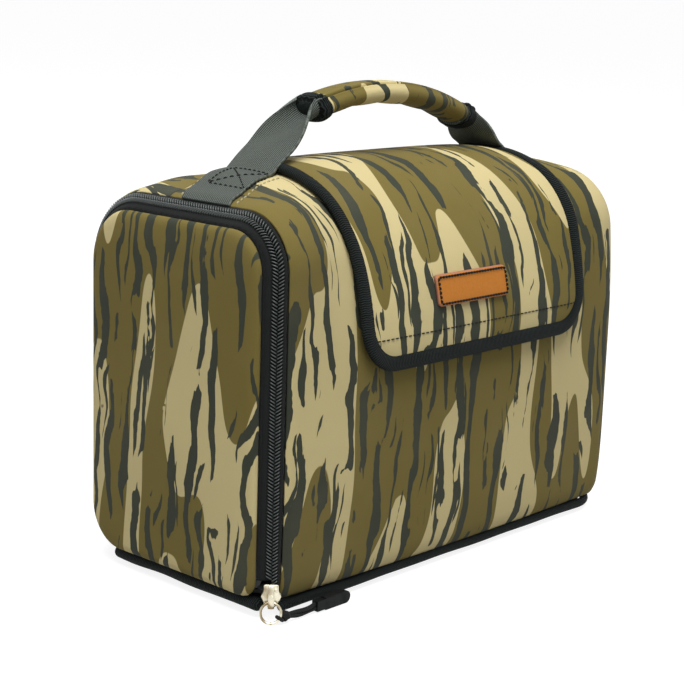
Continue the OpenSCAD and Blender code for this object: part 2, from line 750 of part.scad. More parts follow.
// The space that turns with the handle: all above its axis, and a cylinder round it
module turning_space(x, gap) {
    translate([x, 0, strap_axis_z]) {
        rotate([0, 90, 0]) cylinder(h = 100, r = strap_turn_r + gap, center = true);
        translate([-50, -30, 0]) cube([100, 60, 60]);
    }
}

module strap_left_whole() {
    strap(-strap_left_x - sewn_left, -strap_left_x, neck_left);
}

module strap_right_whole() {
    strap(strap_right_x + sewn_right, strap_right_x, neck_right);
}

module strap_anchor_left() {
    color("#3c413f") difference() {
        strap_left_whole();
        turning_space(-strap_left_x, seat);
    }
}

module strap_anchor_right() {
    color("#3c413f") difference() {
        strap_right_whole();
        turning_space(strap_right_x, seat);
    }
}

module strap_left() {
    color("#3c413f") intersection() {
        strap_left_whole();
        turning_space(-strap_left_x, 0);
    }
}

module strap_right() {
    color("#3c413f") intersection() {
        strap_right_whole();
        turning_space(strap_right_x, 0);
    }
}

// Points of the grip's oval section at x, between two angles
function grip_arc(x, inset, a, b, n) =
    [for (t = spread(a, b, n))
        [x, (grip_w / 2 - inset) * cos(t), grip_mid(x) + (grip_h / 2 - inset) * sin(t)]];

module grip_core() {
    color("#3c413f") loft([for (x = spread(neck_left + seat, neck_right - seat, 8))
        grip_arc(x, wrap_t + seat + 0.15, 360, 20, 18)]);
}

// The wrap closes round the core, and its edges meet along the front of its top
module grip_wrap() {
    hl = grip_hl - grip_end_w;
    color("#8a7a48") loft([for (x = spread(grip_x - hl + seat, grip_x + hl - seat, 9))
        concat(grip_arc(x, 0, 128, -228, 18), grip_arc(x, wrap_t, -228, 128, 18))], folded = true);
}

module grip_binding(side) {
    a = grip_x + side * (grip_hl - grip_end_w);
    b = grip_x + side * grip_hl;
    xs = spread(min(a, b), max(a, b), 2);
    color("#20292b") loft([for (x = xs)
        concat(grip_arc(x, -0.6, 128, -228, 16), grip_arc(x, wrap_t, -228, 128, 16))], folded = true);
}

module grip_binding_left() {
    grip_binding(-1);
}

module grip_binding_right() {
    grip_binding(1);
}

front_shell();
back_shell();
closed_end_panel();
base_panel();
base_board();
base_binding();
top_seam();
sleeve_lining();
hatch_binding();
flap_loop_strip();
flap_root();
flap_root_bindings();
zip_tape_body();
zip_teeth_body();
strap_anchor_left();
strap_anchor_right();
zip_panel();
panel_lining();
panel_hinge_roll();
zip_tape_panel();
zip_teeth_panel();
flap_shell();
flap_binding();
flap_hook_strip();
flap_badge();
strap_left();
strap_right();
grip_core();
grip_wrap();
grip_binding_left();
grip_binding_right();
zip_slider();
pull_ring();
pull_knot();
pull_cord();
pull_tab();
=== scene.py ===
import json
from math import pi, radians

import bpy
import numpy as np
from mathutils import Matrix, Vector
from mathutils.bvhtree import BVHTree


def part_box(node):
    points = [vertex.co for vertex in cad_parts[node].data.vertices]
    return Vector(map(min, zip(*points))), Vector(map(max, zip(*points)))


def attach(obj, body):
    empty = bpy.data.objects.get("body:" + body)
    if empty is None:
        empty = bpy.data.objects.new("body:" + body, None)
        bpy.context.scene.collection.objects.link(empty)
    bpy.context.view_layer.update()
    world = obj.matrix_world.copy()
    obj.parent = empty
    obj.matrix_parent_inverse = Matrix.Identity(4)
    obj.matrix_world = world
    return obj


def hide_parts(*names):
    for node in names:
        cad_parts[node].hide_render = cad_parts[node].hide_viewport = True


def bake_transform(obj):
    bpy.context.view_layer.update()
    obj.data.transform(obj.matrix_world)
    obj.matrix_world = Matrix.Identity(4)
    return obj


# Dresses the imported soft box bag: camouflage fabric over foam, a coil zip round one end,
# a bound front flap and a webbing handle. All sizes are in metres, in the frame of the CAD.

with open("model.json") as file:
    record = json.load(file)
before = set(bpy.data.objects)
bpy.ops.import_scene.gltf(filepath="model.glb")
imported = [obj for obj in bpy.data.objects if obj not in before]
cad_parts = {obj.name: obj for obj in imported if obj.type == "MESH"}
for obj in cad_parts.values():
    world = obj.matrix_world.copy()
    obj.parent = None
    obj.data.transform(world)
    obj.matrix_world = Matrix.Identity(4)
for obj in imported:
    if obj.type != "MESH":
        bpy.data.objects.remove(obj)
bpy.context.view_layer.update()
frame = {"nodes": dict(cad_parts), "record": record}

# ---- Sizes: most repeat those of the solids ----

HALF_L, HALF_W, MID_Z = 0.145, 0.073, 0.108
BAG_H, END_H, SIDE_SWELL = 0.214, 0.203, 0.002
TOP_R, TOP_BACK_R, FOOT_R, END_R, END_BULGE = 0.0305, 0.040, 0.016, 0.020, 0.003
WALL, FOOT_Z = 0.005, 0.009
LINING_IN, LINING_T, LINING_Z = WALL + 0.0017, 0.0009, 0.0106
END_X = HALF_L - END_BULGE
TURN_X = END_X - END_R
SEAM_X = TURN_X + 0.6 * END_R
SEAM_PHI = radians(81)

ZIP_X, ZIP_INSET = -HALF_L, 0.0045
ZIP_HW, ZIP_TOP = HALF_W - ZIP_INSET, END_H - ZIP_INSET
ZIP_R, ZIP_BACK_R = TOP_R - ZIP_INSET, TOP_BACK_R - ZIP_INSET
ZIP_FOOT, ZIP_BACK_FOOT, PANEL_ZIP_START, ZIP_SAG = 0.0095, 0.030, 0.0105, 0.0026
BODY_TAPE, PANEL_TAPE, TAPE_FACE, TAPE_T = 0.0043, 0.0075, 0.0010, 0.0009
COIL_PITCH, COIL_LONG, COIL_HALF, COIL_FAT = 0.00175, 0.0017, 0.00043, 0.0008
HALF_ROOT = 0.70711
RIM_X = ZIP_X + HALF_ROOT * (BODY_TAPE + TAPE_FACE + TAPE_T) + 0.0003
PANEL_FOOT, PANEL_FOOT_R, PANEL_FOOT_BACK_R = 0.010, 0.009, 0.022
PANEL_FOOT_RISE, PANEL_LIP, PANEL_FLAT = 0.3, 0.006, 0.020
ROLL_AXIS, ROLL_R = (ZIP_X - 0.003, 0.0069), 0.0034

FLAP_X, FLAP_HW, FLAP_FOOT, FLAP_R, FLAP_T = 0.0, 0.089, 0.1205, 0.020, 0.0034
FLAP_IN, FLAP_OFF, FLAP_HINGE_Y = 0.00135, 0.0025, -0.023
FLAP_AXIS_PHI = np.arctan2(BAG_H - MID_Z - 0.003, FLAP_HINGE_Y)
ROOT_BACK_PHI = SEAM_PHI + radians(3.5)
BINDING_W, BINDING_T = 0.008, 0.0046
BADGE_X, BADGE_Z, BADGE_W, BADGE_H, BADGE_T = -0.0085, 0.154, 0.058, 0.016, 0.0018
STRIP_L, STRIP_Z, STRIP_H = 0.110, 0.1265, 0.018
HATCH_L, HATCH_W, HATCH_R = 0.128, 0.058, 0.010
HATCH_MID, HATCH_UP = (-0.052, 0.181), (0.5736, 0.8192)
BASE_R, BASE_IN_END, BASE_IN_ZIP, BASE_IN_SIDE = 0.020, 0.009, 0.002, 0.0075

GRIP_X, GRIP_HL, GRIP_TOP_X, GRIP_Z, GRIP_DROP = 0.006, 0.064, -0.006, 0.2505, 0.0125
GRIP_W, GRIP_H, GRIP_END = 0.024, 0.0125, 0.006
STRAP_W, STRAP_T = 0.038, 0.002
STRAP_LEFT_X, STRAP_RIGHT_X, SEWN_LEFT, SEWN_RIGHT = 0.098, 0.101, 0.041, 0.020
NECK_LEFT, NECK_RIGHT = GRIP_X - GRIP_HL + 0.001, GRIP_X + GRIP_HL - 0.001

# ---- The photograph: its camera and the points that set it ----

CAMERA_AT = (-0.7017, -0.626, 0.314)
CAMERA_AZIMUTH, CAMERA_PITCH, CAMERA_ROLL = radians(47.21), radians(12.35), radians(1.82)
CAMERA_LENS, CAMERA_SENSOR = 89.0, 36.0
PHOTO_W = PHOTO_H = 684

IMAGE_POINTS = {
    "left_edge_x": 91, "right_edge_x": 612, "top_edge_y": 80, "bottom_edge_y": 625,
    "flap_foot": (470, 347.5), "flap_binding_left": (350, 238.6), "flap_stitching": (470, 324),
    "badge": (473, 286.5), "zip_straight": (276.7, 333), "slider": (270.5, 597),
    "pull_ring": (272.3, 613.8), "pull_tab": (332, 599), "grip_left_end": (312.6, 110.5),
    "grip_right_end": (456, 112.5), "seam_row_back": (195.7, 184.2), "seam_row_front": (248.4, 195.1),
    "strap_box_near": (225.5, 185.5), "strap_box_far": (251.4, 170.3),
}


# ---- Shape of the bag ----

UP = np.array([0, 0, 1.0])


def ease(t):
    """Smooth step from 0 to 1."""
    c = np.clip(t, 0, 1)
    return c * c * (3 - 2 * c)


def half_w_at(x):
    """Half width: the sides swell as a parabola along the bag."""
    return HALF_W + SIDE_SWELL * (1 - (x / HALF_L) ** 2)


def top_at(x):
    """Height of the crest: it falls late towards the ends."""
    return END_H + (BAG_H - END_H) * (1 - np.minimum(1, np.abs(x) / HALF_L) ** 3.8)


def dome_at(x):
    """How far the top's section is a dome and not a rounded rectangle."""
    return ease((x - ZIP_X - 0.006) / 0.065) * (1 - 0.7 * ease((x - 0.050) / 0.080))


def sag_at(x, t):
    """Sinking of the top behind the zip: it fades along the bag and through the wall."""
    return ZIP_SAG * (1 - ease((x - RIM_X - 0.009) / 0.020)) * (1 - np.clip(t / WALL, 0, 1))


def inset_at(x, t):
    """Inset of the skin at depth t, with a quarter circle at the turn into the closed end."""
    turn = END_R - np.sqrt(np.maximum(0, (END_R - t) ** 2 - (x - TURN_X) ** 2))
    return np.where((x <= TURN_X) | (t >= END_R), t, turn)


def skin(x, phi, t=0.0):
    """A point of the bag's skin at depth t: phi is 0 at the back, pi/2 up and pi at the front.
    Its distance from the middle blends a rounded rectangle with a superellipse."""
    x, phi, t = np.broadcast_arrays(np.asarray(x, float), phi, t)
    d = inset_at(x, t)
    c, s = np.abs(np.cos(phi)), np.abs(np.sin(phi))
    up = np.sin(phi) >= 0
    a = half_w_at(x) - d
    b = np.where(up, top_at(x) - sag_at(x, t) - MID_Z, MID_Z) - d
    r = np.where(up, np.where(np.cos(phi) < 0, TOP_R, TOP_BACK_R), FOOT_R)
    r = np.maximum(0.001, r - d)
    k = c * (a - r) + s * (b - r)
    arc = k + np.sqrt(np.maximum(0, k * k - (a - r) ** 2 - (b - r) ** 2 + r * r))
    box = np.where(a * s <= (b - r) * c, a / np.maximum(c, 1e-9),
                   np.where(b * c <= (a - r) * s, b / np.maximum(s, 1e-9), arc))
    n = np.where(up, 2.3, 7.0)
    oval = ((c / a) ** n + (s / b) ** n) ** (-1 / n)
    mix = np.where(up, dome_at(x), 0.5)
    reach = (1 - mix) * box + mix * oval
    return np.stack([x, reach * np.cos(phi), MID_Z + reach * np.sin(phi)], -1)


def skin_normal(x, phi):
    """Outward normal of the skin, from its slopes in x and phi."""
    e = 1e-3
    along = skin(x + e * 0.1, phi) - skin(x - e * 0.1, phi)
    round_ = skin(x, phi + e) - skin(x, phi - e)
    return unit(np.cross(round_, along))


def unit(v):
    return v / np.maximum(np.linalg.norm(v, axis=-1, keepdims=True), 1e-12)


def phi_at(x, z, t):
    """Direction of the skin's point at height z on the front: a few rounds of its own height."""
    x, z = np.broadcast_arrays(np.asarray(x, float), z)
    y = np.full(x.shape, -HALF_W)
    for _ in range(8):
        phi = np.arctan2(z - MID_Z, y)
        phi = np.where(phi < -pi / 2, phi + 2 * pi, phi)
        y = skin(x, phi, t)[..., 1]
    return phi


def soft(p, scale, seed):
    """A slow wave from -1 to 1, as stuffed cloth has: three sines of unlike wavelength."""
    a, b = p[..., 0] / scale + seed, p[..., 1] / scale - 2 * seed
    return (np.sin(2.1 * a + 1.3 * b) + np.sin(3.4 * b - 1.1 * a + seed)
            + np.sin(1.3 * a + 2.7 * b + 3 * seed)) / 3


# ---- Meshes ----

def mesh_piece(name, points, faces, uvs):
    """A smooth mesh from arrays of points and faces, with one UV pair for each face corner."""
    mesh = bpy.data.meshes.new(name)
    mesh.from_pydata(points.reshape(-1, 3).tolist(), [], faces)
    layer = mesh.uv_layers.new(name="cloth")
    layer.data.foreach_set("uv", np.asarray(uvs, np.float32).ravel())
    mesh.polygons.foreach_set("use_smooth", np.full(len(mesh.polygons), True))
    mesh.validate()
    piece = bpy.data.objects.new(name, mesh)
    bpy.context.collection.objects.link(piece)
    return piece


def face_inwards(corners, inside):
    """Whether quads, given by their corners, look towards the points inside them on the whole."""
    normals = np.cross(corners[:, 2] - corners[:, 0], corners[:, 3] - corners[:, 1])
    return (normals * (corners.mean(1) - inside)).sum() < 0


def grid(name, P, uv, wrap_i=False, wrap_j=False, keep=None, caps=False):
    """A sheet or tube through the points P[i, j]: each face joins four neighbours, and a wrapped
    direction closes on itself. uv has one more row or column where P wraps."""
    n, m = P.shape[:2]
    i, j = np.meshgrid(np.arange(n - (not wrap_i)), np.arange(m - (not wrap_j)), indexing="ij")
    i, j = i.ravel(), j.ravel()
    if keep is not None:
        i, j = i[keep[i, j]], j[keep[i, j]]
    corners = [(i, j), (i + 1, j), (i + 1, j + 1), (i, j + 1)]
    quads = np.stack([(a % n) * m + b % m for a, b in corners], -1)
    uvs = np.stack([uv[a, b] for a, b in corners], 1)
    if wrap_i:
        inside = P.reshape(-1, 3).mean(0)
    else:
        inside = P.mean(1)[i] if wrap_j else np.array([0, 0, MID_Z])
    flipped = face_inwards(P.reshape(-1, 3)[quads], inside)
    if flipped:
        quads, uvs = quads[:, ::-1], uvs[:, ::-1]
    faces, uvs = quads.tolist(), uvs.reshape(-1, 2)
    if caps:
        first, last = list(range(m)), list(range((n - 1) * m, n * m))
        faces += [first[::-1], last] if flipped else [first, last[::-1]]
        uvs = np.concatenate([uvs, uv[0, :m], uv[-1, :m]])
    return mesh_piece(name, P, faces, uvs)


def resample(path, count, closed=False):
    """The same line with its points evenly apart."""
    path = np.asarray(path, float)
    if closed:
        path = np.vstack([path, path[:1]])
    step = np.r_[0, np.cumsum(np.linalg.norm(np.diff(path, axis=0), axis=1))]
    at = np.linspace(0, step[-1], count + closed)[:count]
    return np.stack([np.interp(at, step, path[:, k]) for k in range(path.shape[1])], -1)


def run_length(P):
    """Distance along each line of points, from its first point."""
    step = np.linalg.norm(np.diff(P, axis=-2), axis=-1)
    return np.concatenate([np.zeros(step.shape[:-1] + (1,)), np.cumsum(step, -1)], -1)


def uv_grid(along, around):
    """UV pairs from a distance for each row and one for each column, in metres."""
    return np.stack(np.broadcast_arrays(along[:, None], around[None]), -1)


def flat_uv(P, first, second):
    """The UV map of a piece that wraps, as it is seen flat in two of the axes."""
    flat = P[..., [first, second]]
    return np.concatenate([flat, flat[:, :1]], 1)


def ring_length(ring):
    """Distance round a closed ring, from its first point and back to it."""
    return run_length(np.vstack([ring, ring[:1]]))


def carried(path, across, out, ring, size=1.0):
    """The points of a ring at each place of a path, in the two directions given there."""
    across = np.broadcast_to(across, path.shape)[:, None]
    sized = ring[None] * np.broadcast_to(size, len(path))[:, None, None]
    return path[:, None] + across * sized[..., :1] + out[:, None] * sized[..., 1:]


def rounded(corners, steps):
    """An outline of quarter circles, each with its middle, radius and starting angle."""
    line = []
    for x, y, r, turn in corners:
        a = np.radians(np.linspace(turn, turn + 90, steps))
        line.append(np.stack([x + r * np.cos(a), y + r * np.sin(a)], -1))
    return np.concatenate(line)


def rounded_box(hx, hy, r, steps):
    """A rounded rectangle round the origin, from its half sizes."""
    quarters = ((1, 1, 0), (-1, 1, 90), (-1, -1, 180), (1, -1, 270))
    return rounded([(sx * (hx - r), sy * (hy - r), r, turn) for sx, sy, turn in quarters], steps)


def swept(name, path, out, section, round_ends=0.0):
    """A closed section carried along a path. out is the direction of the section's second axis,
    and the UV map runs along the path."""
    along = unit(np.gradient(path, axis=0))
    across = unit(np.cross(along, out))
    out = unit(np.cross(across, along))
    s = run_length(path)
    scale = 1.0
    if round_ends:
        edge = np.minimum(s, s[-1] - s) / round_ends
        scale = np.sqrt(np.clip(1 - (1 - np.clip(edge, 0, 1)) ** 2, 0.02, 1))
    P = carried(path, across, out, section, scale)
    return grid(name, P, uv_grid(s, ring_length(section)), wrap_j=True, caps=True)


def beads(name, P, uv):
    """Many small closed tubes in one mesh: P[bead, ring, point], capped at both ends."""
    n, m, c = P.shape[:3]
    i, j = np.meshgrid(np.arange(m - 1), np.arange(c), indexing="ij")
    quad = np.stack([i * c + j, (i + 1) * c + j, (i + 1) * c + (j + 1) % c, i * c + (j + 1) % c], -1)
    quad = quad.reshape(-1, 4)
    first, last = np.arange(c), np.arange(c)[::-1] + (m - 1) * c
    if face_inwards(P[0].reshape(-1, 3)[quad], P[0].mean((0, 1))):
        quad, first, last = quad[:, ::-1], first[::-1], last[::-1]
    step = (np.arange(n) * m * c)[:, None, None]
    quads = (quad[None] + step).reshape(-1, 4)
    ends = np.concatenate([first[None] + step[:, 0], last[None] + step[:, 0]])
    corner = np.concatenate([quads.ravel(), ends.ravel()])
    return mesh_piece(name, P, quads.tolist() + ends.tolist(), uv.reshape(-1, 2)[corner])


def superellipse(width, height, power, a):
    """Points of a superellipse at the angles a: with power 2 it is an ellipse, above it boxy."""
    c, s = np.cos(a), np.sin(a)
    return np.stack([width / 2 * np.sign(c) * np.abs(c) ** (2 / power),
                     height / 2 * np.sign(s) * np.abs(s) ** (2 / power)], -1)


def oval(width, height, power, count):
    """A superellipse as a ring of evenly turned points."""
    return superellipse(width, height, power, np.linspace(0, 2 * pi, count, endpoint=False))


def thicken(piece, thickness, offset=-1):
    """Gives an open sheet its wall, inwards from its outer face."""
    wall = piece.modifiers.new("wall", "SOLIDIFY")
    wall.thickness, wall.offset = thickness, offset
    return piece


# ---- Materials ----

def put(tree, kind, inputs=None, **settings):
    """Adds a node, whose inputs are numbers, colours or the output that feeds the socket."""
    node = tree.nodes.new(kind)
    for key, value in settings.items():
        setattr(node, key, value)
    for key, value in (inputs or {}).items():
        if isinstance(value, bpy.types.NodeSocket):
            tree.links.new(value, node.inputs[key])
        else:
            node.inputs[key].default_value = value
    return node


def calc(tree, operation, a, b=0.0, c=0.0, clamp=False):
    node = put(tree, "ShaderNodeMath", {0: a, 1: b, 2: c}, operation=operation, use_clamp=clamp)
    return node.outputs[0]


def band(tree, value, low, high, to_low=0.0, to_high=1.0):
    """Smooth step of a value between two limits."""
    node = put(tree, "ShaderNodeMapRange", {"Value": value, "From Min": low, "From Max": high,
               "To Min": to_low, "To Max": to_high}, interpolation_type="SMOOTHSTEP")
    return node.outputs["Result"]


def mix(tree, factor, a, b, blend="MIX"):
    """Blends two colours, which are inputs 6 and 7 of the node when it mixes colours."""
    return put(tree, "ShaderNodeMix", {0: factor, 6: a, 7: b}, data_type="RGBA", blend_type=blend).outputs[2]


def noise(tree, vector, scale, detail, roughness=0.5, distortion=0.0):
    return put(tree, "ShaderNodeTexNoise", {"Vector": vector, "Scale": scale, "Detail": detail,
               "Roughness": roughness, "Distortion": distortion}).outputs["Fac"]


def stretched(tree, vector, scale, place=(0, 0, 0)):
    """The vector scaled unlike along each axis, which draws a pattern out."""
    return put(tree, "ShaderNodeMapping", {"Vector": vector, "Scale": scale,
               "Location": place}).outputs[0]


def group(name, inputs, outputs):
    """An empty shader group with its sockets, and its input and output nodes."""
    tree = bpy.data.node_groups.new(name, "ShaderNodeTree")
    kinds = {"vector": "NodeSocketVector", "color": "NodeSocketColor", "float": "NodeSocketFloat"}
    for key, (kind, value) in inputs.items():
        socket = tree.interface.new_socket(key, in_out="INPUT", socket_type=kinds[kind])
        if value is not None:
            socket.default_value = value
    for key, kind in outputs.items():
        tree.interface.new_socket(key, in_out="OUTPUT", socket_type=kinds[kind])
    return tree, tree.nodes.new("NodeGroupInput").outputs, tree.nodes.new("NodeGroupOutput").inputs


def use(tree, shared, inputs):
    """Places a group in a material with its own values."""
    return put(tree, "ShaderNodeGroup", inputs, node_tree=shared).outputs


def colour(r, g, b):
    """A colour as read off the photograph, from sRGB to linear."""
    c = np.array([r, g, b]) / 255
    return (*np.where(c <= 0.04045, c / 12.92, ((c + 0.055) / 1.055) ** 2.4).tolist(), 1.0)


def make_print():
    """Camouflage print: rounded brown patches on tan, and dark strokes along the cloth. The
    strokes follow evenly spaced lines that a noise moves sideways. A second noise gives them
    their width and breaks them, and a fine one makes their edges ragged."""
    tree, i, o = group("bark_print", {
        "Vector": ("vector", None), "Ground": ("color", colour(216, 200, 146)),
        "Patch": ("color", colour(122, 108, 53)), "Stroke": ("color", colour(56, 60, 48))},
        {"Color": "color", "Mask": "float"})
    drift = noise(tree, stretched(tree, i["Vector"], (9, 7, 1), (5.1, 6.6, 0)), 1.0, 0.0)
    wander = noise(tree, stretched(tree, i["Vector"], (48, 26, 1), (3.7, 1.2, 0)), 1.0, 1.0)
    ragged = noise(tree, stretched(tree, i["Vector"], (190, 70, 1), (9.7, 4.1, 0)), 1.0, 2.0, 0.65)
    sway = calc(tree, "MULTIPLY", drift, 0.030)
    shift = put(tree, "ShaderNodeCombineXYZ", {"X": sway}).outputs[0]
    at = put(tree, "ShaderNodeVectorMath", {0: i["Vector"], 1: shift}, operation="ADD").outputs[0]
    patches = noise(tree, stretched(tree, at, (33, 9, 1), (0.4, 0.9, 0)), 1.0, 0.5, 0.4)
    patch = band(tree, patches, 0.484, 0.488)
    across = put(tree, "ShaderNodeSeparateXYZ", {0: at}).outputs[0]
    across = calc(tree, "MULTIPLY_ADD", wander, 0.020, across)

    soft_edge = 0.00013

    def strokes(spacing, thin, thick, low, high, place):
        """Strokes a spacing apart whose width goes from thin to thick, in shares of it."""
        line = calc(tree, "PINGPONG", calc(tree, "DIVIDE", across, spacing), 0.5)
        width = noise(tree, stretched(tree, i["Vector"], (70, 13, 1), place), 1.0, 1.0, 0.5)
        width = band(tree, width, low, high, thin, thick)
        width = calc(tree, "ADD", width, calc(tree, "MULTIPLY_ADD", ragged, 0.36, -0.18))
        return calc(tree, "MULTIPLY", calc(tree, "SUBTRACT", width, line), spacing / soft_edge, clamp=True)

    bold = strokes(0.0128, -0.10, 0.27, 0.38, 0.60, (2.2, 8.8, 0))
    fine = strokes(0.0069, -0.16, 0.20, 0.44, 0.66, (7.4, 3.1, 0))
    stroke = calc(tree, "MAXIMUM", bold, fine)
    base = mix(tree, patch, i["Ground"], i["Patch"])
    tree.links.new(mix(tree, stroke, base, i["Stroke"]), o["Color"])
    tree.links.new(stroke, o["Mask"])
    return tree


def make_knit():
    """Fine jersey over foam: rows and wales of two sine waves, and slow dents under them."""
    tree, i, o = group("jersey", {"Vector": ("vector", None), "Pitch": ("float", 0.0007)},
                       {"Height": "float", "Shade": "float"})
    per = calc(tree, "DIVIDE", 2 * pi, i["Pitch"])
    xyz = put(tree, "ShaderNodeSeparateXYZ", {0: i["Vector"]}).outputs
    rows = calc(tree, "SINE", calc(tree, "MULTIPLY", xyz[0], per))
    wales = calc(tree, "SINE", calc(tree, "MULTIPLY", xyz[1], calc(tree, "MULTIPLY", per, 1.3)))
    cells = calc(tree, "MULTIPLY", rows, wales)
    fuzz = noise(tree, i["Vector"], 2600.0, 2.0, 0.7)
    dents = noise(tree, i["Vector"], 75.0, 2.0, 0.5)
    height = calc(tree, "MULTIPLY_ADD", cells, 0.16, calc(tree, "MULTIPLY", fuzz, 0.5))
    tree.links.new(calc(tree, "MULTIPLY_ADD", dents, 1.6, height), o["Height"])
    tree.links.new(calc(tree, "MULTIPLY_ADD", fuzz, 0.22, 0.89), o["Shade"])
    return tree


def make_ribs():
    """Woven ribs across a narrow fabric: a wave along it, cut by a finer one across it. Its Shade is painted
    shade and light: darker in the grooves and lighter on the crests.
    """
    tree, i, o = group("woven_ribs", {"Vector": ("vector", None), "Rib": ("float", 0.0015),
                       "Yarn": ("float", 0.0006), "Slant": ("float", 0.0)},
                       {"Height": "float", "Shade": "float"})
    xyz = put(tree, "ShaderNodeSeparateXYZ", {0: i["Vector"]}).outputs
    fold = calc(tree, "PINGPONG", xyz[1], 0.0022)
    along = calc(tree, "MULTIPLY_ADD", fold, i["Slant"], xyz[0])
    rib = calc(tree, "SINE", calc(tree, "DIVIDE", calc(tree, "MULTIPLY", along, 2 * pi), i["Rib"]))
    yarn = calc(tree, "SINE", calc(tree, "DIVIDE", calc(tree, "MULTIPLY", xyz[1], 2 * pi), i["Yarn"]))
    fuzz = noise(tree, i["Vector"], 1900.0, 2.0, 0.6)
    height = calc(tree, "MULTIPLY_ADD", yarn, 0.22, rib)
    height = calc(tree, "MULTIPLY_ADD", fuzz, 0.8, height)
    tree.links.new(height, o["Height"])
    # Painted shade and light: the colour factor follows the height, darker in the grooves and lighter on the
    # crests.
    tree.links.new(calc(tree, "MULTIPLY_ADD", height, 0.17, 0.86), o["Shade"])
    return tree


def make_wear():
    """Dust and handling: a mask that is strongest in broad, broken areas."""
    tree, i, o = group("handled", {"Vector": ("vector", None), "Scale": ("float", 40.0)},
                       {"Mask": "float"})
    broad = noise(tree, i["Vector"], i["Scale"], 3.0, 0.6)
    tree.links.new(band(tree, broad, 0.42, 0.72), o["Mask"])
    return tree


PRINT, KNIT, RIBS, HANDLED = make_print(), make_knit(), make_ribs(), make_wear()


def empty_tree(owner):
    """The node tree of a material or a world, with nothing in it."""
    owner.use_nodes = True
    owner.node_tree.nodes.clear()
    return owner.node_tree


def shader(name, roughness, specular, metallic=0.0, sheen=0.0, coat=0.0):
    """A material with one Principled shader, its constants set on the shader itself."""
    material = bpy.data.materials.new(name)
    tree = empty_tree(material)
    bsdf = put(tree, "ShaderNodeBsdfPrincipled", {"Roughness": roughness, "Metallic": metallic,
               "Sheen Weight": sheen, "Coat Weight": coat, "Specular IOR Level": specular})
    put(tree, "ShaderNodeOutputMaterial", {0: bsdf.outputs[0]})
    return material, tree, bsdf.inputs


def cloth_uv(tree, place=(0, 0, 0)):
    """The piece's own UV map in metres, shifted to a place of the cloth."""
    uv = put(tree, "ShaderNodeUVMap", uv_map="cloth").outputs[0]
    return stretched(tree, uv, (1, 1, 1), place)


def bump(tree, height, distance, strength, normal_input):
    """Lets a height stand out of the surface, by a distance in metres."""
    node = put(tree, "ShaderNodeBump", {"Height": height, "Distance": distance, "Strength": strength})
    tree.links.new(node.outputs[0], normal_input)


def shaded(tree, paint, shade):
    """A colour made darker or lighter by a factor."""
    grey = put(tree, "ShaderNodeCombineColor", {"Red": shade, "Green": shade, "Blue": shade}).outputs[0]
    return mix(tree, 1.0, paint, grey, "MULTIPLY")


def camo(name, place):
    """Printed jersey. Its place shifts the print, so that no two panels show the same part of it."""
    material, tree, b = shader(name, 0.85, 0.26, sheen=0.03)
    uv = cloth_uv(tree)
    printed = use(tree, PRINT, {"Vector": cloth_uv(tree, place)})
    knit = use(tree, KNIT, {"Vector": uv})
    worn = use(tree, HANDLED, {"Vector": uv, "Scale": 14.0})["Mask"]
    faded = mix(tree, calc(tree, "MULTIPLY", worn, 0.05), printed["Color"], colour(190, 180, 150))
    tree.links.new(shaded(tree, faded, knit["Shade"]), b["Base Color"])
    bump(tree, knit["Height"], 0.00022, 0.8, b["Normal"])
    return material


def woven(name, paint, rib, yarn, slant, depth, strength=0.6, sheen=0.02, specular=0.22, crest=None):
    """Narrow woven fabric with ribs across it: paler where handled, and with a painted highlight of a lighter
    colour on the ribs' crests.
    """
    material, tree, b = shader(name, 0.72, specular, sheen=sheen)
    uv = cloth_uv(tree)
    ribs = use(tree, RIBS, {"Vector": uv, "Rib": rib, "Yarn": yarn, "Slant": slant})
    worn = use(tree, HANDLED, {"Vector": uv, "Scale": 55.0})["Mask"]
    pale = tuple(min(1, c * 1.5 + 0.004) for c in paint[:3]) + (1,)
    base = mix(tree, calc(tree, "MULTIPLY", worn, 0.4), paint, pale)
    # Painted highlight: the crest colour is laid on the ribs' crests, where light would catch them.
    if crest:
        base = mix(tree, band(tree, ribs["Height"], 0.1, 1.3), base, crest)
    tree.links.new(shaded(tree, base, ribs["Shade"]), b["Base Color"])
    bump(tree, ribs["Height"], depth, strength, b["Normal"])
    return material


def smooth_cloth(name, paint, pitch, roughness, depth=0.00015):
    """Plain close cloth: the knit's rows and wales at a pitch of its own, in one colour."""
    material, tree, b = shader(name, roughness, 0.25, sheen=0.02)
    knit = use(tree, KNIT, {"Vector": cloth_uv(tree), "Pitch": pitch})
    tree.links.new(shaded(tree, paint, knit["Shade"]), b["Base Color"])
    bump(tree, knit["Height"], depth, 0.6, b["Normal"])
    return material


def solid(name, paint, roughness, scale, metallic=0.0, depth=0.00005, coat=0.0, specular=0.5,
          painted_reflection=None):
    """Metal or plastic on Object coordinates: fine grain, and duller where it is handled. A
    painted reflection gives broad, soft-edged areas of a darker second colour, for the dark surroundings that
    polished metal mirrors."""
    material, tree, b = shader(name, roughness, specular, metallic, coat=coat)
    at = put(tree, "ShaderNodeTexCoord").outputs["Object"]
    grain = noise(tree, at, scale, 3.0, 0.6)
    worn = use(tree, HANDLED, {"Vector": at, "Scale": 260.0})["Mask"]
    # Painted reflection: soft areas of a darker colour stand in for dark surroundings mirrored in the metal.
    if painted_reflection:
        reflection_mask = noise(tree, stretched(tree, at, (1, 1, 0.5)), 230.0, 1.0, 0.4, 0.5)
        paint = mix(tree, band(tree, reflection_mask, 0.34, 0.60), painted_reflection, paint)
    tree.links.new(shaded(tree, paint, calc(tree, "MULTIPLY_ADD", grain, 0.24, 0.88)), b["Base Color"])
    tree.links.new(calc(tree, "MULTIPLY_ADD", worn, 0.2, roughness), b["Roughness"])
    bump(tree, grain, depth, 0.5, b["Normal"])
    return material


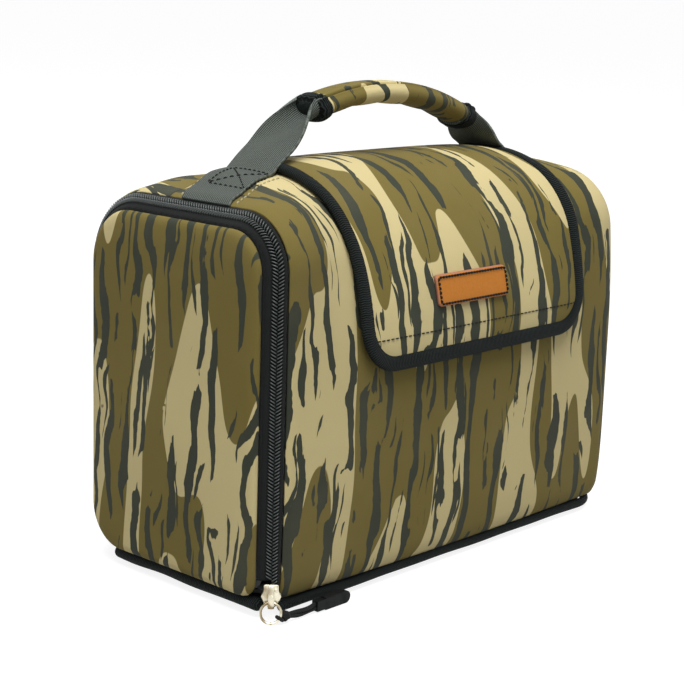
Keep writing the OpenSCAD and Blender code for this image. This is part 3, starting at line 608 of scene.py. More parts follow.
CAMO_BODY = camo("camo_fabric", (0.31, 0.12, 0))
CAMO_PANEL = camo("camo_panel", (1.43, 0.55, 0))
CAMO_FLAP = camo("camo_flap", (7.13, 0.91, 0))
CAMO_GRIP = camo("camo_grip", (3.85, 0.77, 0))
# The crest colours of the webbing and the binding are painted highlights on their ribs.
WEBBING = woven("black_webbing", colour(70, 76, 71), 0.0014, 0.0011, 0.12, 0.00030, 0.9,
                crest=colour(112, 119, 112))
BINDING = woven("black_binding", colour(10, 15, 14), 0.00115, 0.0007, 0.20, 0.00045, 1.0,
                sheen=0.0, specular=0.14, crest=colour(42, 51, 49))
TAPE = woven("zip_tape", colour(15, 18, 17), 0.0008, 0.0005, 1.0, 0.00015)
CORD = woven("cord", colour(20, 22, 22), 0.0010, 0.0008, 0.6, 0.0002)
THREAD = woven("thread", colour(12, 13, 13), 0.0004, 0.0004, 0.5, 0.00006)
PALE_THREAD = woven("pale_thread", colour(196, 186, 150), 0.0004, 0.0004, 0.5, 0.00006)
HOOKS = smooth_cloth("hook_loop", colour(22, 24, 24), 0.0011, 0.95, 0.0007)
BASE = smooth_cloth("base_fabric", colour(24, 27, 27), 0.0012, 0.7, 0.00025)
LINING = smooth_cloth("lining", colour(150, 155, 155), 0.0009, 0.55)
BOARD = solid("board", colour(60, 62, 63), 0.6, 90.0, depth=0.0002)
COIL = solid("zip_coil", colour(58, 65, 63), 0.34, 900.0, coat=0.4)
# The nickel's second, darker colour is a painted reflection of dark surroundings.
NICKEL = solid("nickel", colour(226, 220, 198), 0.22, 1500.0, metallic=1.0, depth=0.00002,
               painted_reflection=colour(142, 126, 96))
RUBBER = solid("tab_rubber", colour(12, 15, 15), 0.55, 1100.0, depth=0.0001, specular=0.15)
PATCH = solid("badge", colour(200, 125, 46), 0.66, 900.0, depth=0.00012, specular=0.3)
PATCH_EDGE = solid("badge_edge", colour(176, 116, 92), 0.7, 900.0, depth=0.0001)


def dress(piece, material):
    """Gives a piece one material and no other."""
    piece.data.materials.clear()
    piece.data.materials.append(material)


def finish(piece, material, body):
    """Gives a piece its finish and the body that it rides on."""
    dress(piece, material)
    if body:
        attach(piece, body)
    return piece


# ---- Camera, light and floor ----

ROOM_LIGHT, KEY_LIGHT, FILL_LIGHT, FLOOR_GLOW, FLOOR_TONE = 0.31, 51.0, 1.0, 0.86, 0.38


def camera_axes():
    """The camera's right, up and back, from its azimuth, pitch and roll."""
    a, p, r = CAMERA_AZIMUTH, CAMERA_PITCH, CAMERA_ROLL
    ahead = np.array([np.sin(a) * np.cos(p), np.cos(a) * np.cos(p), -np.sin(p)])
    side = np.array([np.cos(a), -np.sin(a), 0.0])
    up = np.cross(side, ahead)
    return np.stack([side * np.cos(r) + up * np.sin(r), up * np.cos(r) - side * np.sin(r), -ahead])


def make_camera():
    """The photograph's camera, as it was fitted."""
    data = bpy.data.cameras.new("camera")
    data.lens, data.sensor_width, data.sensor_fit = CAMERA_LENS, CAMERA_SENSOR, "AUTO"
    camera = bpy.data.objects.new("camera", data)
    bpy.context.collection.objects.link(camera)
    place = np.eye(4)
    place[:3, :3], place[:3, 3] = camera_axes().T, CAMERA_AT
    camera.matrix_world = Matrix(place.tolist())
    bpy.context.scene.camera = camera


def seen_ray(x, y):
    """Direction through a point of the photograph, in the frame."""
    size = max(PHOTO_W, PHOTO_H)
    ray = np.array([x - PHOTO_W / 2, PHOTO_H / 2 - y, -size * CAMERA_LENS / CAMERA_SENSOR])
    return unit(ray @ camera_axes())


def in_photo(points):
    """Where points of the frame fall in the photograph."""
    p = (points - np.array(CAMERA_AT)) @ camera_axes().T
    scale = -PHOTO_W * CAMERA_LENS / CAMERA_SENSOR / p[..., 2]
    return np.stack([PHOTO_W / 2 + p[..., 0] * scale, PHOTO_H / 2 - p[..., 1] * scale], -1)


def finished(piece):
    """The piece's vertices and faces as its modifiers leave them."""
    final = piece.evaluated_get(bpy.context.evaluated_depsgraph_get())
    mesh = final.to_mesh()
    points = np.empty(len(mesh.vertices) * 3, np.float32)
    mesh.vertices.foreach_get("co", points)
    faces = [tuple(face.vertices) for face in mesh.polygons]
    final.to_mesh_clear()
    return points.reshape(-1, 3).astype(float), faces


def surface_tree(*carriers):
    """A search tree of the finished pieces that carry something."""
    bpy.context.view_layer.update()
    points, faces = [], []
    for piece in carriers:
        p, f = finished(piece)
        faces += [tuple(i + len(points) for i in face) for face in f]
        points += p.tolist()
    return BVHTree.FromPolygons(points, faces)


def on_surface(tree, x, y):
    """The place on a piece that shows at (x, y) of the photograph, or the nearest to its ray."""
    start, ray = np.array(CAMERA_AT), seen_ray(x, y)
    hit = tree.ray_cast(Vector(start), Vector(ray))[0]
    if hit is None:
        near = [tree.find_nearest(Vector(start + ray * d)) for d in np.linspace(0.6, 1.3, 141)]
        hit = min(near, key=lambda found: found[3])[0]
    return np.array(hit)


def lamp(name, at, size, power):
    """A round soft light that looks at the bag's lower half."""
    data = bpy.data.lights.new(name, "AREA")
    data.shape, data.size, data.energy = "DISK", size, power
    light = bpy.data.objects.new(name, data)
    light.location = at
    light.rotation_euler = (Vector((0, 0, 0.1)) - Vector(at)).to_track_quat("-Z", "Y").to_euler()
    bpy.context.collection.objects.link(light)


def make_studio():
    """A white room: the world and the floor show white, and light the bag at a plain level."""
    world = bpy.data.worlds.new("studio")
    bpy.context.scene.world = world
    tree = empty_tree(world)
    path = put(tree, "ShaderNodeLightPath").outputs
    seen = calc(tree, "MAXIMUM", path["Is Camera Ray"], path["Is Transmission Ray"])
    seen = calc(tree, "MAXIMUM", seen, path["Is Glossy Ray"])
    strength = calc(tree, "MULTIPLY_ADD", seen, 1.0 - ROOM_LIGHT, ROOM_LIGHT)
    back = put(tree, "ShaderNodeBackground", {"Color": (1, 1, 1, 1), "Strength": strength})
    put(tree, "ShaderNodeOutputWorld", {0: back.outputs[0]})
    floor = grid("floor", np.array([[[x, y, 0.0] for y in (-30, 30)] for x in (-30, 30)]),
                 np.zeros((2, 2, 2)))
    material = bpy.data.materials.new("floor_white")
    tree = empty_tree(material)
    path = put(tree, "ShaderNodeLightPath").outputs
    seen = calc(tree, "MAXIMUM", path["Is Camera Ray"], path["Is Glossy Ray"])
    matt = put(tree, "ShaderNodeBsdfDiffuse", {"Color": (FLOOR_TONE,) * 3 + (1,)})
    glow = put(tree, "ShaderNodeEmission", {"Strength": calc(tree, "MULTIPLY", seen, FLOOR_GLOW)})
    both = put(tree, "ShaderNodeAddShader", {0: matt.outputs[0], 1: glow.outputs[0]})
    put(tree, "ShaderNodeOutputMaterial", {0: both.outputs[0]})
    floor.data.materials.append(material)
    lamp("key", (-0.5, -0.6, 2.2), 1.8, KEY_LIGHT)
    lamp("fill", (-1.5, -1.6, 0.9), 1.6, FILL_LIGHT)


make_camera()
make_studio()
bpy.context.scene.view_settings.view_transform = "Standard"

BODIES = frame["record"]["behaviour"]["bodies"]


def body_with(node):
    """The body that carries a solid."""
    return next(name for name, nodes in BODIES.items() if node in nodes)


# ---- Sleeve and closed end ----

def even_directions(a, b, count):
    """Directions from a to b whose points on the skin lie evenly apart."""
    fine = np.linspace(a, b, 2000)
    run = run_length(skin(0.0, fine))
    return np.interp(np.linspace(0, run[-1], count), run, fine)


def foot_direction(side):
    """Direction of the sleeve's foot, at the back with side 1 and at the front with side -1."""
    return np.arctan2(FOOT_Z - MID_Z, side * (HALF_W - 0.0035)) + (2 * pi if side < 0 else 0)


def hatch_place(P):
    """Coordinates on the hatch's own plane: along the bag and up its slope."""
    return np.stack([P[..., 0] - FLAP_X, (P[..., 1:] - np.array(HATCH_MID)) @ np.array(HATCH_UP)], -1)


def hatch_distance(P):
    """Signed distance to the hatch's outline, a rounded rectangle: negative is inside."""
    p = np.abs(hatch_place(P)) - np.array([HATCH_L / 2 - HATCH_R, HATCH_W / 2 - HATCH_R])
    return np.linalg.norm(np.maximum(p, 0), axis=-1) + np.minimum(p.max(-1), 0) - HATCH_R


def open_hatch(x, phi, t):
    """Which cells of a sheet stay round the hatch, and its rim's points drawn to the outline."""
    x, phi = (a.copy() for a in np.broadcast_arrays(x, phi))
    P = skin(x, phi, t)
    gone = (hatch_distance(P) < 0) & (np.sin(phi) > 0)
    low, high = slice(None, -1), slice(1, None)
    corners = [(i, j) for i in (low, high) for j in (low, high)]
    cells = np.any([gone[c] for c in corners], 0)
    whole = np.all([gone[c] for c in corners], 0)
    rim = np.zeros_like(gone)
    for c in corners:
        rim[c] |= cells & ~whole
    rim &= gone & (np.abs(hatch_distance(P)) < 0.004)
    e = 1e-4
    for _ in range(6):
        d = hatch_distance(skin(x, phi, t))
        dx = (hatch_distance(skin(x + e, phi, t)) - d) / e
        dp = (hatch_distance(skin(x, phi + e, t)) - d) / e
        step = np.where(rim, d / np.maximum(dx ** 2 + (dp / 0.09) ** 2, 1e-6), 0)
        x, phi = x - step * dx, phi - step * dp / 0.09 ** 2
    return x, phi, ~whole


def sleeve_sheet(name, low, high, hatch=False):
    """Half of the sleeve: the skin between two directions, rolled in at the zip's rim, with slow
    dents of a few tenths of a millimetre as foam-backed cloth has."""
    reach = 0.004
    xs = np.r_[RIM_X + reach * np.linspace(0, 1, 6)[:-1] ** 1.5, np.linspace(RIM_X + reach, SEAM_X, 130)]
    x, phi = np.meshgrid(xs, even_directions(low, high, 150), indexing="ij")
    roll = 0.0016 * (1 - np.clip((x - RIM_X) / reach, 0, 1)) ** 2
    roll = roll + 0.0007 * (1 - np.clip((SEAM_X - x) / reach, 0, 1)) ** 2
    keep = None
    if hatch:
        x, phi, keep = open_hatch(x, phi, 0.0)
    P = skin(x, phi, roll)
    uv = np.stack([x, run_length(P)], -1)
    inner = ease((x - RIM_X) / 0.02) * ease((SEAM_X - x) / 0.02) * ease((P[..., 2] - 0.012) / 0.02)
    P += skin_normal(x, phi) * (soft(uv, 0.042, 1.7) * 0.00035 * inner)[..., None]
    return thicken(grid(name, P, uv, keep=keep), WALL)


sleeve_front = sleeve_sheet("sleeve_front", SEAM_PHI, foot_direction(-1), hatch=True)
sleeve_back = sleeve_sheet("sleeve_back", foot_direction(1), SEAM_PHI)
for piece, node in ((sleeve_front, "front_shell"), (sleeve_back, "back_shell")):
    finish(piece, CAMO_BODY, "bag")
    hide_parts(node)


def closed_end():
    """The cup that closes the sleeve: rings of the skin round its turn, then the face, whose
    rings shrink to the middle and bulge as (1 - k^2)^2. Its dents are faint, more so on a
    smaller end."""
    phi = np.linspace(-pi / 2, 1.5 * pi, 240, endpoint=False)
    turn = np.r_[SEAM_X + 0.0003, TURN_X + END_R * np.sin(np.linspace(0.68, 1.5, 12))]
    dip = 0.0009 * (1 - np.clip((turn - SEAM_X) / 0.0035, 0, 1)) ** 2
    rings = skin(turn[:, None], phi[None], dip[:, None])
    edge = skin(END_X, phi, 0.0)
    k = np.linspace(1, 0.02, 26)[:, None, None]
    middle = np.array([END_X, 0, MID_Z])
    face = middle + (edge - middle)[None] * k
    face[..., 0] = END_X + 0.3 * END_BULGE * (1 - k[..., 0] ** 2) ** 2
    P = np.concatenate([rings, face])
    P[..., 2] = np.maximum(P[..., 2], FOOT_Z)
    flat = edge[:, 1:] - middle[1:]
    reach = np.linalg.norm(flat, axis=-1)
    beyond = run_length(P.swapaxes(0, 1)).swapaxes(0, 1)
    beyond = beyond[len(turn)][None] - beyond
    uv = flat[None] / reach[None, :, None] * (reach[None] + beyond)[..., None] * -1
    P[..., 0] += soft(uv, 0.05, 0.9) * 0.0005 * ease(beyond.max())
    uv = np.concatenate([uv, uv[:, :1]], 1) + np.array([0.2, 0.1])
    return thicken(grid("closed_end_cover", P, uv, wrap_j=True), WALL)


end_cover = finish(closed_end(), CAMO_BODY, "bag")
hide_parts("closed_end_panel")

# ---- End panel ----

def zip_outline(inset, count):
    """A rounded rectangle inset from the chain, with its own radius at each corner. Its foot
    rises more slowly than its sides come in."""
    hw, top = ZIP_HW - inset, ZIP_TOP - inset
    foot = PANEL_FOOT + PANEL_FOOT_RISE * (inset - PANEL_LIP)
    back_r, front_r = max(0.003, ZIP_BACK_R - inset), max(0.003, ZIP_R - inset)
    corners = ((hw - back_r, top - back_r, back_r, 0), (front_r - hw, top - front_r, front_r, 90),
               (PANEL_FOOT_R - hw, foot + PANEL_FOOT_R, PANEL_FOOT_R, 180),
               (hw - PANEL_FOOT_BACK_R, foot + PANEL_FOOT_BACK_R, PANEL_FOOT_BACK_R, 270))
    return resample(rounded(corners, 24), count, closed=True)


def panel_rings(profile):
    """Rings of the end panel through pairs of inset and distance out. Past the flat inset they
    are the ring there, drawn to the middle."""
    count, reach, rings = 200, 0.0485, []
    base = zip_outline(PANEL_FLAT, count)
    middle = base.mean(0)
    for inset, out in profile:
        if inset <= PANEL_FLAT:
            ring = zip_outline(inset, count)
        else:
            ring = middle + (base - middle) * max(0.02, 1 - (inset - PANEL_FLAT) / reach)
        rings.append(np.column_stack([np.full(count, ZIP_X - out), ring]))
    return np.array(rings)


def smooth_profile(points, count):
    """A profile rounded by averaging each point with its neighbours, spaced evenly."""
    line = resample(points, count * 4)
    for _ in range(20):
        line[1:-1] = (line[:-2] + 2 * line[1:-1] + line[2:]) / 4
    return resample(line, count)


def make_panel():
    """The pillow of the end panel: its face swells 2 mm more towards the middle, and rises
    and falls slowly like foam that has been packed flat."""
    face = [(6.1, 5.6), (6.5, 7.0), (8.2, 8.0), (11, 8.8), (18, 9.7), (36, 10.7), (67.5, 11.6)]
    back = [(67.5, 5.4), (45, 5.2), (18, 4.4), (10.2, 3.1), (6.4, 4.6)]
    face = smooth_profile(np.array(face) / 1000, 44)
    P = np.concatenate([panel_rings(np.array(back) / 1000), panel_rings(face)])
    front = np.arange(len(P)) >= len(back)
    inner = ease((ZIP_HW - np.abs(P[..., 1]) - 0.008) / 0.02)
    P[..., 0] -= front[:, None] * soft(P[..., 1:], 0.050, 2.3) * 0.0006 * inner
    return grid("end_panel", P, flat_uv(P, 1, 2), wrap_j=True, caps=True)


panel = finish(make_panel(), CAMO_PANEL, "zip_panel")
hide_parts("zip_panel")


def make_panel_lining():
    """The lining behind the panel's foam, a thin sheet a little off it."""
    profile = np.array([(67.5, -0.6), (45, -0.5), (18, -1.3), (10.0, -2.6)]) / 1000
    P = panel_rings(profile + np.array([0, 0.0003]))
    P[..., 0] += 0.0004
    return thicken(grid("end_panel_lining", P, flat_uv(P, 1, 2), wrap_j=True, caps=True), LINING_T, 1)


panel_back = finish(make_panel_lining(), LINING, "zip_panel")
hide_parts("panel_lining")

# ---- Lining, base and seams ----

def make_lining():
    """The skin at the lining's depth, floored at the board, closed by rings at the far end."""
    xs = np.r_[np.linspace(RIM_X + 0.001, TURN_X, 110),
               TURN_X + (END_R - LINING_IN) * np.sin(np.linspace(0.1, 1.4, 8))]
    back = even_directions(foot_direction(1), SEAM_PHI, 90)
    front = even_directions(SEAM_PHI, foot_direction(-1), 110)
    low = np.linspace(foot_direction(-1), foot_direction(1) + 2 * pi, 40)
    phis = np.r_[back[:-1], front[:-1], low[:-1]]
    x, phi = np.meshgrid(xs, phis, indexing="ij")
    x, phi, keep = open_hatch(x, phi, LINING_IN)
    P = skin(x, phi, LINING_IN)
    run = run_length(np.concatenate([P, P[:, :1]], 1))
    middle = np.array([0, 0, MID_Z])
    k = np.linspace(0.8, 0.02, 6)[:, None, None]
    far = P[-1][None] * np.array([0, 1, 1]) * k + middle * (1 - k)
    far[..., 0] = P[-1, 0, 0] + (END_X + END_BULGE - LINING_IN - P[-1, 0, 0]) * (1 - k[..., 0] ** 4)
    P = np.concatenate([P, far])
    P[..., 2] = np.maximum(P[..., 2], LINING_Z)
    uv = np.stack(np.broadcast_arrays(np.r_[xs, xs[-1] + 0.012 * np.arange(1, 7)][:, None],
                                      np.concatenate([run, run[-1:].repeat(6, 0)])), -1)
    keep = np.concatenate([keep, keep[:, -1:]], 1)
    keep = np.concatenate([keep, np.ones((6, keep.shape[1]), bool)])
    return thicken(grid("sleeve_lining_cloth", P, uv, wrap_j=True, keep=keep), LINING_T)


lining = finish(make_lining(), LINING, "bag")
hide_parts("sleeve_lining")


def base_rings(profile):
    """Rounded rectangles of the base through pairs of inset and height."""
    count, rings = 160, []
    for inset, z in profile:
        x0, x1 = ZIP_X + BASE_IN_ZIP + inset + BASE_R, END_X - BASE_IN_END - inset - BASE_R
        y = max(0.001, HALF_W - BASE_IN_SIDE - inset - BASE_R)
        corners = ((x1, y, BASE_R, 0), (x0, y, BASE_R, 90), (x0, -y, BASE_R, 180), (x1, -y, BASE_R, 270))
        ring = resample(rounded(corners, 20), count, closed=True)
        rings.append(np.column_stack([ring, np.full(count, z)]))
    return np.array(rings)


def make_base():
    """The base: a shallow tray that sags 3 mm to the floor."""
    profile = [(45, 8), (20, 8), (1.5, 8), (0.3, 7.6), (0, 6.6), (0.2, 4.6), (2, 3.0), (8, 1.2),
               (16, 0.25), (22, 0.0), (45, 0.0)]
    P = base_rings(np.array(profile) / 1000)
    return grid("base_cloth", P, flat_uv(P, 0, 1), wrap_j=True, caps=True)


base = finish(make_base(), BASE, "bag")
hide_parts("base_panel")


def make_base_binding():
    """Ribbed piping round the base, open at the zip end: a tube along a rounded U that wavers."""
    r, y = 0.0025, HALF_W - 0.0041
    front_x, back_x, bend, bend_x = ZIP_X + 0.006, ZIP_X + 0.018, 0.024, END_X - 0.0055 - 0.024
    a = np.radians(np.linspace(-90, 90, 60))
    bend_y = np.where(a < 0, bend - y, y - bend)
    turn = np.stack([bend_x + bend * np.cos(a), bend_y + bend * np.sin(a)], -1)
    line = resample(np.concatenate([[[front_x, -y]], turn, [[back_x, y]]]), 420)
    s = run_length(line)
    path = np.column_stack([line, 0.0055 + 0.00025 * np.sin(s / 0.011) * np.sin(s / 0.031)])
    return swept("base_piping", path, UP, oval(2 * r, 2 * r, 2.0, 16))


base_piping = finish(make_base_binding(), BINDING, "bag")
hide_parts("base_binding")


def make_hinge_roll():
    """The ribbed roll under the end panel: a tube that wavers as hand-sewn binding does."""
    y = np.linspace(-(ZIP_HW - 0.0035), ZIP_HW - PANEL_FOOT_BACK_R, 160)
    path = np.stack([ROLL_AXIS[0] + 0.0002 * np.sin(y / 0.006), y,
                     ROLL_AXIS[1] + 0.00028 * np.sin(y / 0.0085 + 1)], -1)
    return swept("panel_roll", path, np.array([-1.0, 0, 0]), oval(2 * ROLL_R, 2 * ROLL_R, 2.0, 24),
                 round_ends=0.0034)


roll = finish(make_hinge_roll(), BINDING, body_with("panel_hinge_roll"))
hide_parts("panel_hinge_roll")


def stitches(name, path, out, length=0.0031, gap=0.0012, width=0.0006):
    """Sewn thread: short capsules along a path, each with its ends sunk in the cloth."""
    path = np.asarray(path, float)
    out = np.broadcast_to(out, path.shape)
    run = run_length(path)

    def along_path(values, s):
        return np.stack([np.interp(s, run, values[:, c]) for c in range(3)], -1)

    count = max(1, int(run[-1] / (length + gap)))
    a = np.linspace(0, 2 * pi, 6, endpoint=False)
    k = np.linspace(-1, 1, 6)
    thick = np.sqrt(np.clip(1 - k ** 4, 0.05, 1)) * width / 2
    s = ((np.arange(count) + 0.5) * run[-1] / count)[:, None] + k[None] * length / 2
    up = unit(along_path(out, s))
    across = np.cross(unit(along_path(path, s + 1e-4) - along_path(path, s - 1e-4)), up)
    mid = along_path(path, s) + up * ((1 - k ** 2) * width * 0.5 - width * 0.2)[None, :, None]
    P = (mid[:, :, None] + across[:, :, None] * (np.cos(a) * thick[:, None])[None, ..., None]
         + up[:, :, None] * (np.sin(a) * thick[:, None])[None, ..., None])
    return beads(name, P, np.stack(np.broadcast_arrays(s[:, :, None], a * width), -1))


def make_top_seam():
    """The lap of the long seam on the top: a low strip with a row of thread on each side."""
    x = np.linspace(-STRAP_LEFT_X + 0.004, SEAM_X - 0.001, 150)
    phi = np.linspace(SEAM_PHI - radians(2.3), SEAM_PHI + radians(2.3), 9)
    k = np.linspace(-1, 1, 9)
    lift = 0.0011 * (1 - np.abs(k) ** 5) + 0.00005
    P = skin(x[:, None], phi[None], -lift[None])
    return thicken(grid("top_seam_lap", P, uv_grid(x, k * 0.004)), 0.0006)


lap = finish(make_top_seam(), CAMO_BODY, "bag")
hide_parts("top_seam")
for row, side in (("front", 1), ("back", -1)):
    x = np.linspace(-STRAP_LEFT_X + 0.006, SEAM_X - 0.003, 200)
    phi = SEAM_PHI + side * radians(1.3)
    thread = stitches("top_seam_thread_" + row, skin(x, phi, -0.0013), skin_normal(x, phi))
    finish(thread, THREAD, "bag")

# ---- Hatch and flap ----

def make_hatch_binding():
    """A flat band folded over the hatch's edge, a low oval carried round its outline."""
    line = rounded_box(HATCH_L / 2, HATCH_W / 2, HATCH_R, 14)
    line = resample(line * (1 + 0.0012 / np.array([HATCH_L / 2, HATCH_W / 2])), 320, closed=True)
    x = FLAP_X + line[:, 0]
    phi, e = np.full(len(x), radians(130)), 1e-4
    for _ in range(12):
        off = hatch_place(skin(x, phi))[:, 1] - line[:, 1]
        slope = (hatch_place(skin(x, phi + e))[:, 1] - off - line[:, 1]) / e
        phi = phi - off / slope
    path, out = skin(x, phi, -0.0005), skin_normal(x, phi)
    along = unit(np.roll(path, -1, 0) - np.roll(path, 1, 0))
    across = np.cross(along, out)
    ring = oval(0.0056, 0.0009, 3.0, 12)
    uv = uv_grid(ring_length(path), ring_length(ring))
    return grid("hatch_band", carried(path, across, out, ring), uv, wrap_i=True, wrap_j=True)


hatch_band = finish(make_hatch_binding(), BINDING, "bag")
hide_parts("hatch_binding")


def flap_lift(phi):
    """Height of the flap's outer face over the skin: least at its sewn root."""
    root = 0.0003 + (FLAP_IN - 0.0003) * ease((phi - ROOT_BACK_PHI) / (FLAP_AXIS_PHI - ROOT_BACK_PHI))
    return root + (FLAP_OFF - FLAP_IN) * ease((phi - radians(120)) / radians(45)) + FLAP_T


def corner_rise(x, hw, r):
    """How far a rounded corner lifts the foot of a flap of half width hw at x."""
    d = np.maximum(0, np.abs(x - FLAP_X) - hw + r)
    return r - np.sqrt(np.maximum(0, r * r - d * d))


def make_flap():
    """The flap's foam: a sheet from its sewn root to its foot that dips towards the binding and
    rises and falls slowly. Its foot follows the rounded corners."""
    bare = BINDING_W / 2 - 0.0015
    hw, r = FLAP_HW - bare, FLAP_R - bare
    turn = hw - r + r * np.sin(np.radians(np.linspace(0, 88, 20)))
    x = FLAP_X + np.r_[-turn[::-1], np.linspace(-hw + r, hw - r, 90)[1:-1], turn]
    low = FLAP_FOOT + bare + corner_rise(x, hw, r)
    foot = phi_at(x, low, -FLAP_OFF)
    k = np.linspace(0, 1, 130)
    phi = ROOT_BACK_PHI + (foot[:, None] - ROOT_BACK_PHI) * k[None]
    xx = np.broadcast_to(x[:, None], phi.shape)
    P = skin(xx, phi, -flap_lift(phi))
    run = run_length(P)
    uv = np.stack([xx, run], -1)
    side = np.minimum(hw - np.abs(xx - FLAP_X), run[:, -1:] - run)
    dip = 0.0011 * (1 - np.clip(side / 0.012, 0, 1)) ** 2
    calm = ease(side / 0.02) * ease((phi - ROOT_BACK_PHI) / radians(12))
    wave = soft(uv, 0.038, 4.1) * 0.0005 * calm
    P += skin_normal(xx, phi) * (wave - dip)[..., None]
    return thicken(grid("flap_cover", P, uv), FLAP_T - 0.0004)


flap = finish(make_flap(), CAMO_FLAP, None)
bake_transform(flap)
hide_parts("flap_shell", "flap_root")


def flap_edge_line():
    """x and direction of the binding's middle: down the left side, round and up the right."""
    r, hw = FLAP_R, FLAP_HW
    down = np.linspace(ROOT_BACK_PHI, float(phi_at(FLAP_X - hw, FLAP_FOOT + r, -FLAP_OFF)), 120)
    side = np.stack([np.full(120, -hw), down], -1)
    a = np.radians(np.linspace(3, 87, 24))
    turn = -(hw - r + r * np.cos(a))
    corner = np.stack([turn, phi_at(FLAP_X + turn, FLAP_FOOT + r - r * np.sin(a), -FLAP_OFF)], -1)
    half = np.concatenate([side, corner])
    foot = np.linspace(r - hw, hw - r, 90)
    foot = np.stack([foot, phi_at(FLAP_X + foot, FLAP_FOOT, -FLAP_OFF)], -1)
    line = np.concatenate([half, foot, half[::-1] * np.array([-1, 1])])
    x, phi = FLAP_X + line[:, 0], line[:, 1]
    run = run_length(skin(x, phi))
    at = np.linspace(0, run[-1], 520)
    return np.interp(at, run, x), np.interp(at, run, phi)


def make_flap_binding():
    """Ribbed tape folded over the flap's edge: a fat oval carried round it, fatter in places."""
    x, phi = flap_edge_line()
    mid = flap_lift(phi) - FLAP_T / 2
    path, out = skin(x, phi, -mid), skin_normal(x, phi)
    s = run_length(path)
    path = path + out * (0.0002 * np.sin(s / 0.009) * np.sin(s / 0.023))[:, None]
    return swept("flap_edge_binding", path, out, oval(BINDING_W, BINDING_T, 2.5, 24))


flap_binding = finish(make_flap_binding(), BINDING, None)
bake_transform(flap_binding)
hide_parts("flap_binding", "flap_root_bindings")
x, phi = flap_edge_line()
free = phi > FLAP_AXIS_PHI + radians(3)
x, phi = x[free], phi[free]
line, out = skin(x, phi, -(flap_lift(phi) + 0.0001)), skin_normal(x, phi)
inward = unit(np.array([FLAP_X, -0.07, 0.17]) - line)
inward -= out * (inward * out).sum(-1, keepdims=True)
line = line + unit(inward) * (BINDING_W / 2 - 0.0012) - out * 0.0003
thread = stitches("flap_binding_thread", line, out, 0.0026, 0.001)
finish(thread, THREAD, "flap")


def front_pad(name, x, z, hx, hz, low, high, corner=0.002, edge=0.0005):
    """A slab on the front: rounded rectangles at two heights over the skin, their edge rounded
    by a quarter circle, then drawn to the middle of the slab."""
    line = resample(rounded_box(hx, hz, corner, 8), 180, closed=True)
    bend = np.radians(np.linspace(0, 90, 5))
    profile = [(0.03, low), (1, low)]
    profile += [(1 - (1 - np.cos(b)) * edge / hz, high - edge + edge * np.sin(b)) for b in bend]
    profile += [(k, high) for k in (0.9, 0.75, 0.55, 0.35, 0.15, 0.004)]
    rings = []
    for k, h in profile:
        flat = line * (1 - (1 - k) * (1 if k < 0.85 else hz / np.array([hx, hz])))
        rings.append(skin(x + flat[:, 0], phi_at(x + flat[:, 0], z + flat[:, 1], -h), -h))
    P = np.array(rings)
    return grid(name, P, flat_uv(P, 0, 2), wrap_j=True, caps=True)


BADGE_BASE, BADGE_CUT = FLAP_OFF + FLAP_T + 0.0001, 0.0003
badge = front_pad("badge_patch", BADGE_X, BADGE_Z, BADGE_W / 2 - BADGE_CUT, BADGE_H / 2 - BADGE_CUT,
                  BADGE_BASE, BADGE_BASE + BADGE_T, 0.0021, 0.0004)
finish(badge, PATCH, "flap")
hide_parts("flap_badge")
cut_edge = front_pad("badge_cut_edge", BADGE_X, BADGE_Z, BADGE_W / 2, BADGE_H / 2,
                     BADGE_BASE, BADGE_BASE + BADGE_T - BADGE_CUT, 0.0022, 0.0004)
finish(cut_edge, PATCH_EDGE, "flap")
strip_mid = STRIP_Z + STRIP_H / 2
loops = front_pad("loop_strip", FLAP_X, strip_mid, STRIP_L / 2, STRIP_H / 2, 0.0003, 0.0010)
finish(loops, HOOKS, "bag")
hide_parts("flap_loop_strip")
hooks = front_pad("hook_strip", FLAP_X, strip_mid, STRIP_L / 2, STRIP_H / 2 - 0.001, 0.0013, 0.0020)
finish(hooks, HOOKS, "flap")
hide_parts("flap_hook_strip")


# ---- Zip ----

ZIP_PARTS = (ZIP_TOP - ZIP_R - ZIP_FOOT, pi / 2 * ZIP_R, 2 * ZIP_HW - ZIP_R - ZIP_BACK_R,
             pi / 2 * ZIP_BACK_R, ZIP_TOP - ZIP_BACK_R - ZIP_BACK_FOOT)
ZIP_LENGTH = sum(ZIP_PARTS)


def zip_at(s):
    """Place of the chain at length s, and the direction out of the loop there."""
    ends = np.cumsum(ZIP_PARTS)
    turn = pi - pi / 2 * np.clip((s - ends[0]) / ZIP_PARTS[1], 0, 1)
    turn = turn - pi / 2 * np.clip((s - ends[2]) / ZIP_PARTS[3], 0, 1)
    part = [s <= end for end in ends[:4]]
    y = np.select(part, [-ZIP_HW + 0 * s, -ZIP_HW + ZIP_R + ZIP_R * np.cos(turn),
                         -ZIP_HW + ZIP_R + s - ends[1],
                         ZIP_HW - ZIP_BACK_R + ZIP_BACK_R * np.cos(turn)], ZIP_HW + 0 * s)
    z = np.select(part, [ZIP_FOOT + s, ZIP_TOP - ZIP_R + ZIP_R * np.sin(turn), ZIP_TOP + 0 * s,
                         ZIP_TOP - ZIP_BACK_R + ZIP_BACK_R * np.sin(turn)],
                  ZIP_TOP - ZIP_BACK_R - (s - ends[3]))
    place = np.stack([np.full(s.shape, ZIP_X), y, z], -1)
    return place, np.stack([np.zeros(s.shape), np.cos(turn), np.sin(turn)], -1)


def chain_axes(out):
    """Across the chain towards the bag, and out of its face: both lie at 45 degrees."""
    inwards = np.array([1.0, 0, 0])
    return unit(out + inwards), unit(out - inwards)


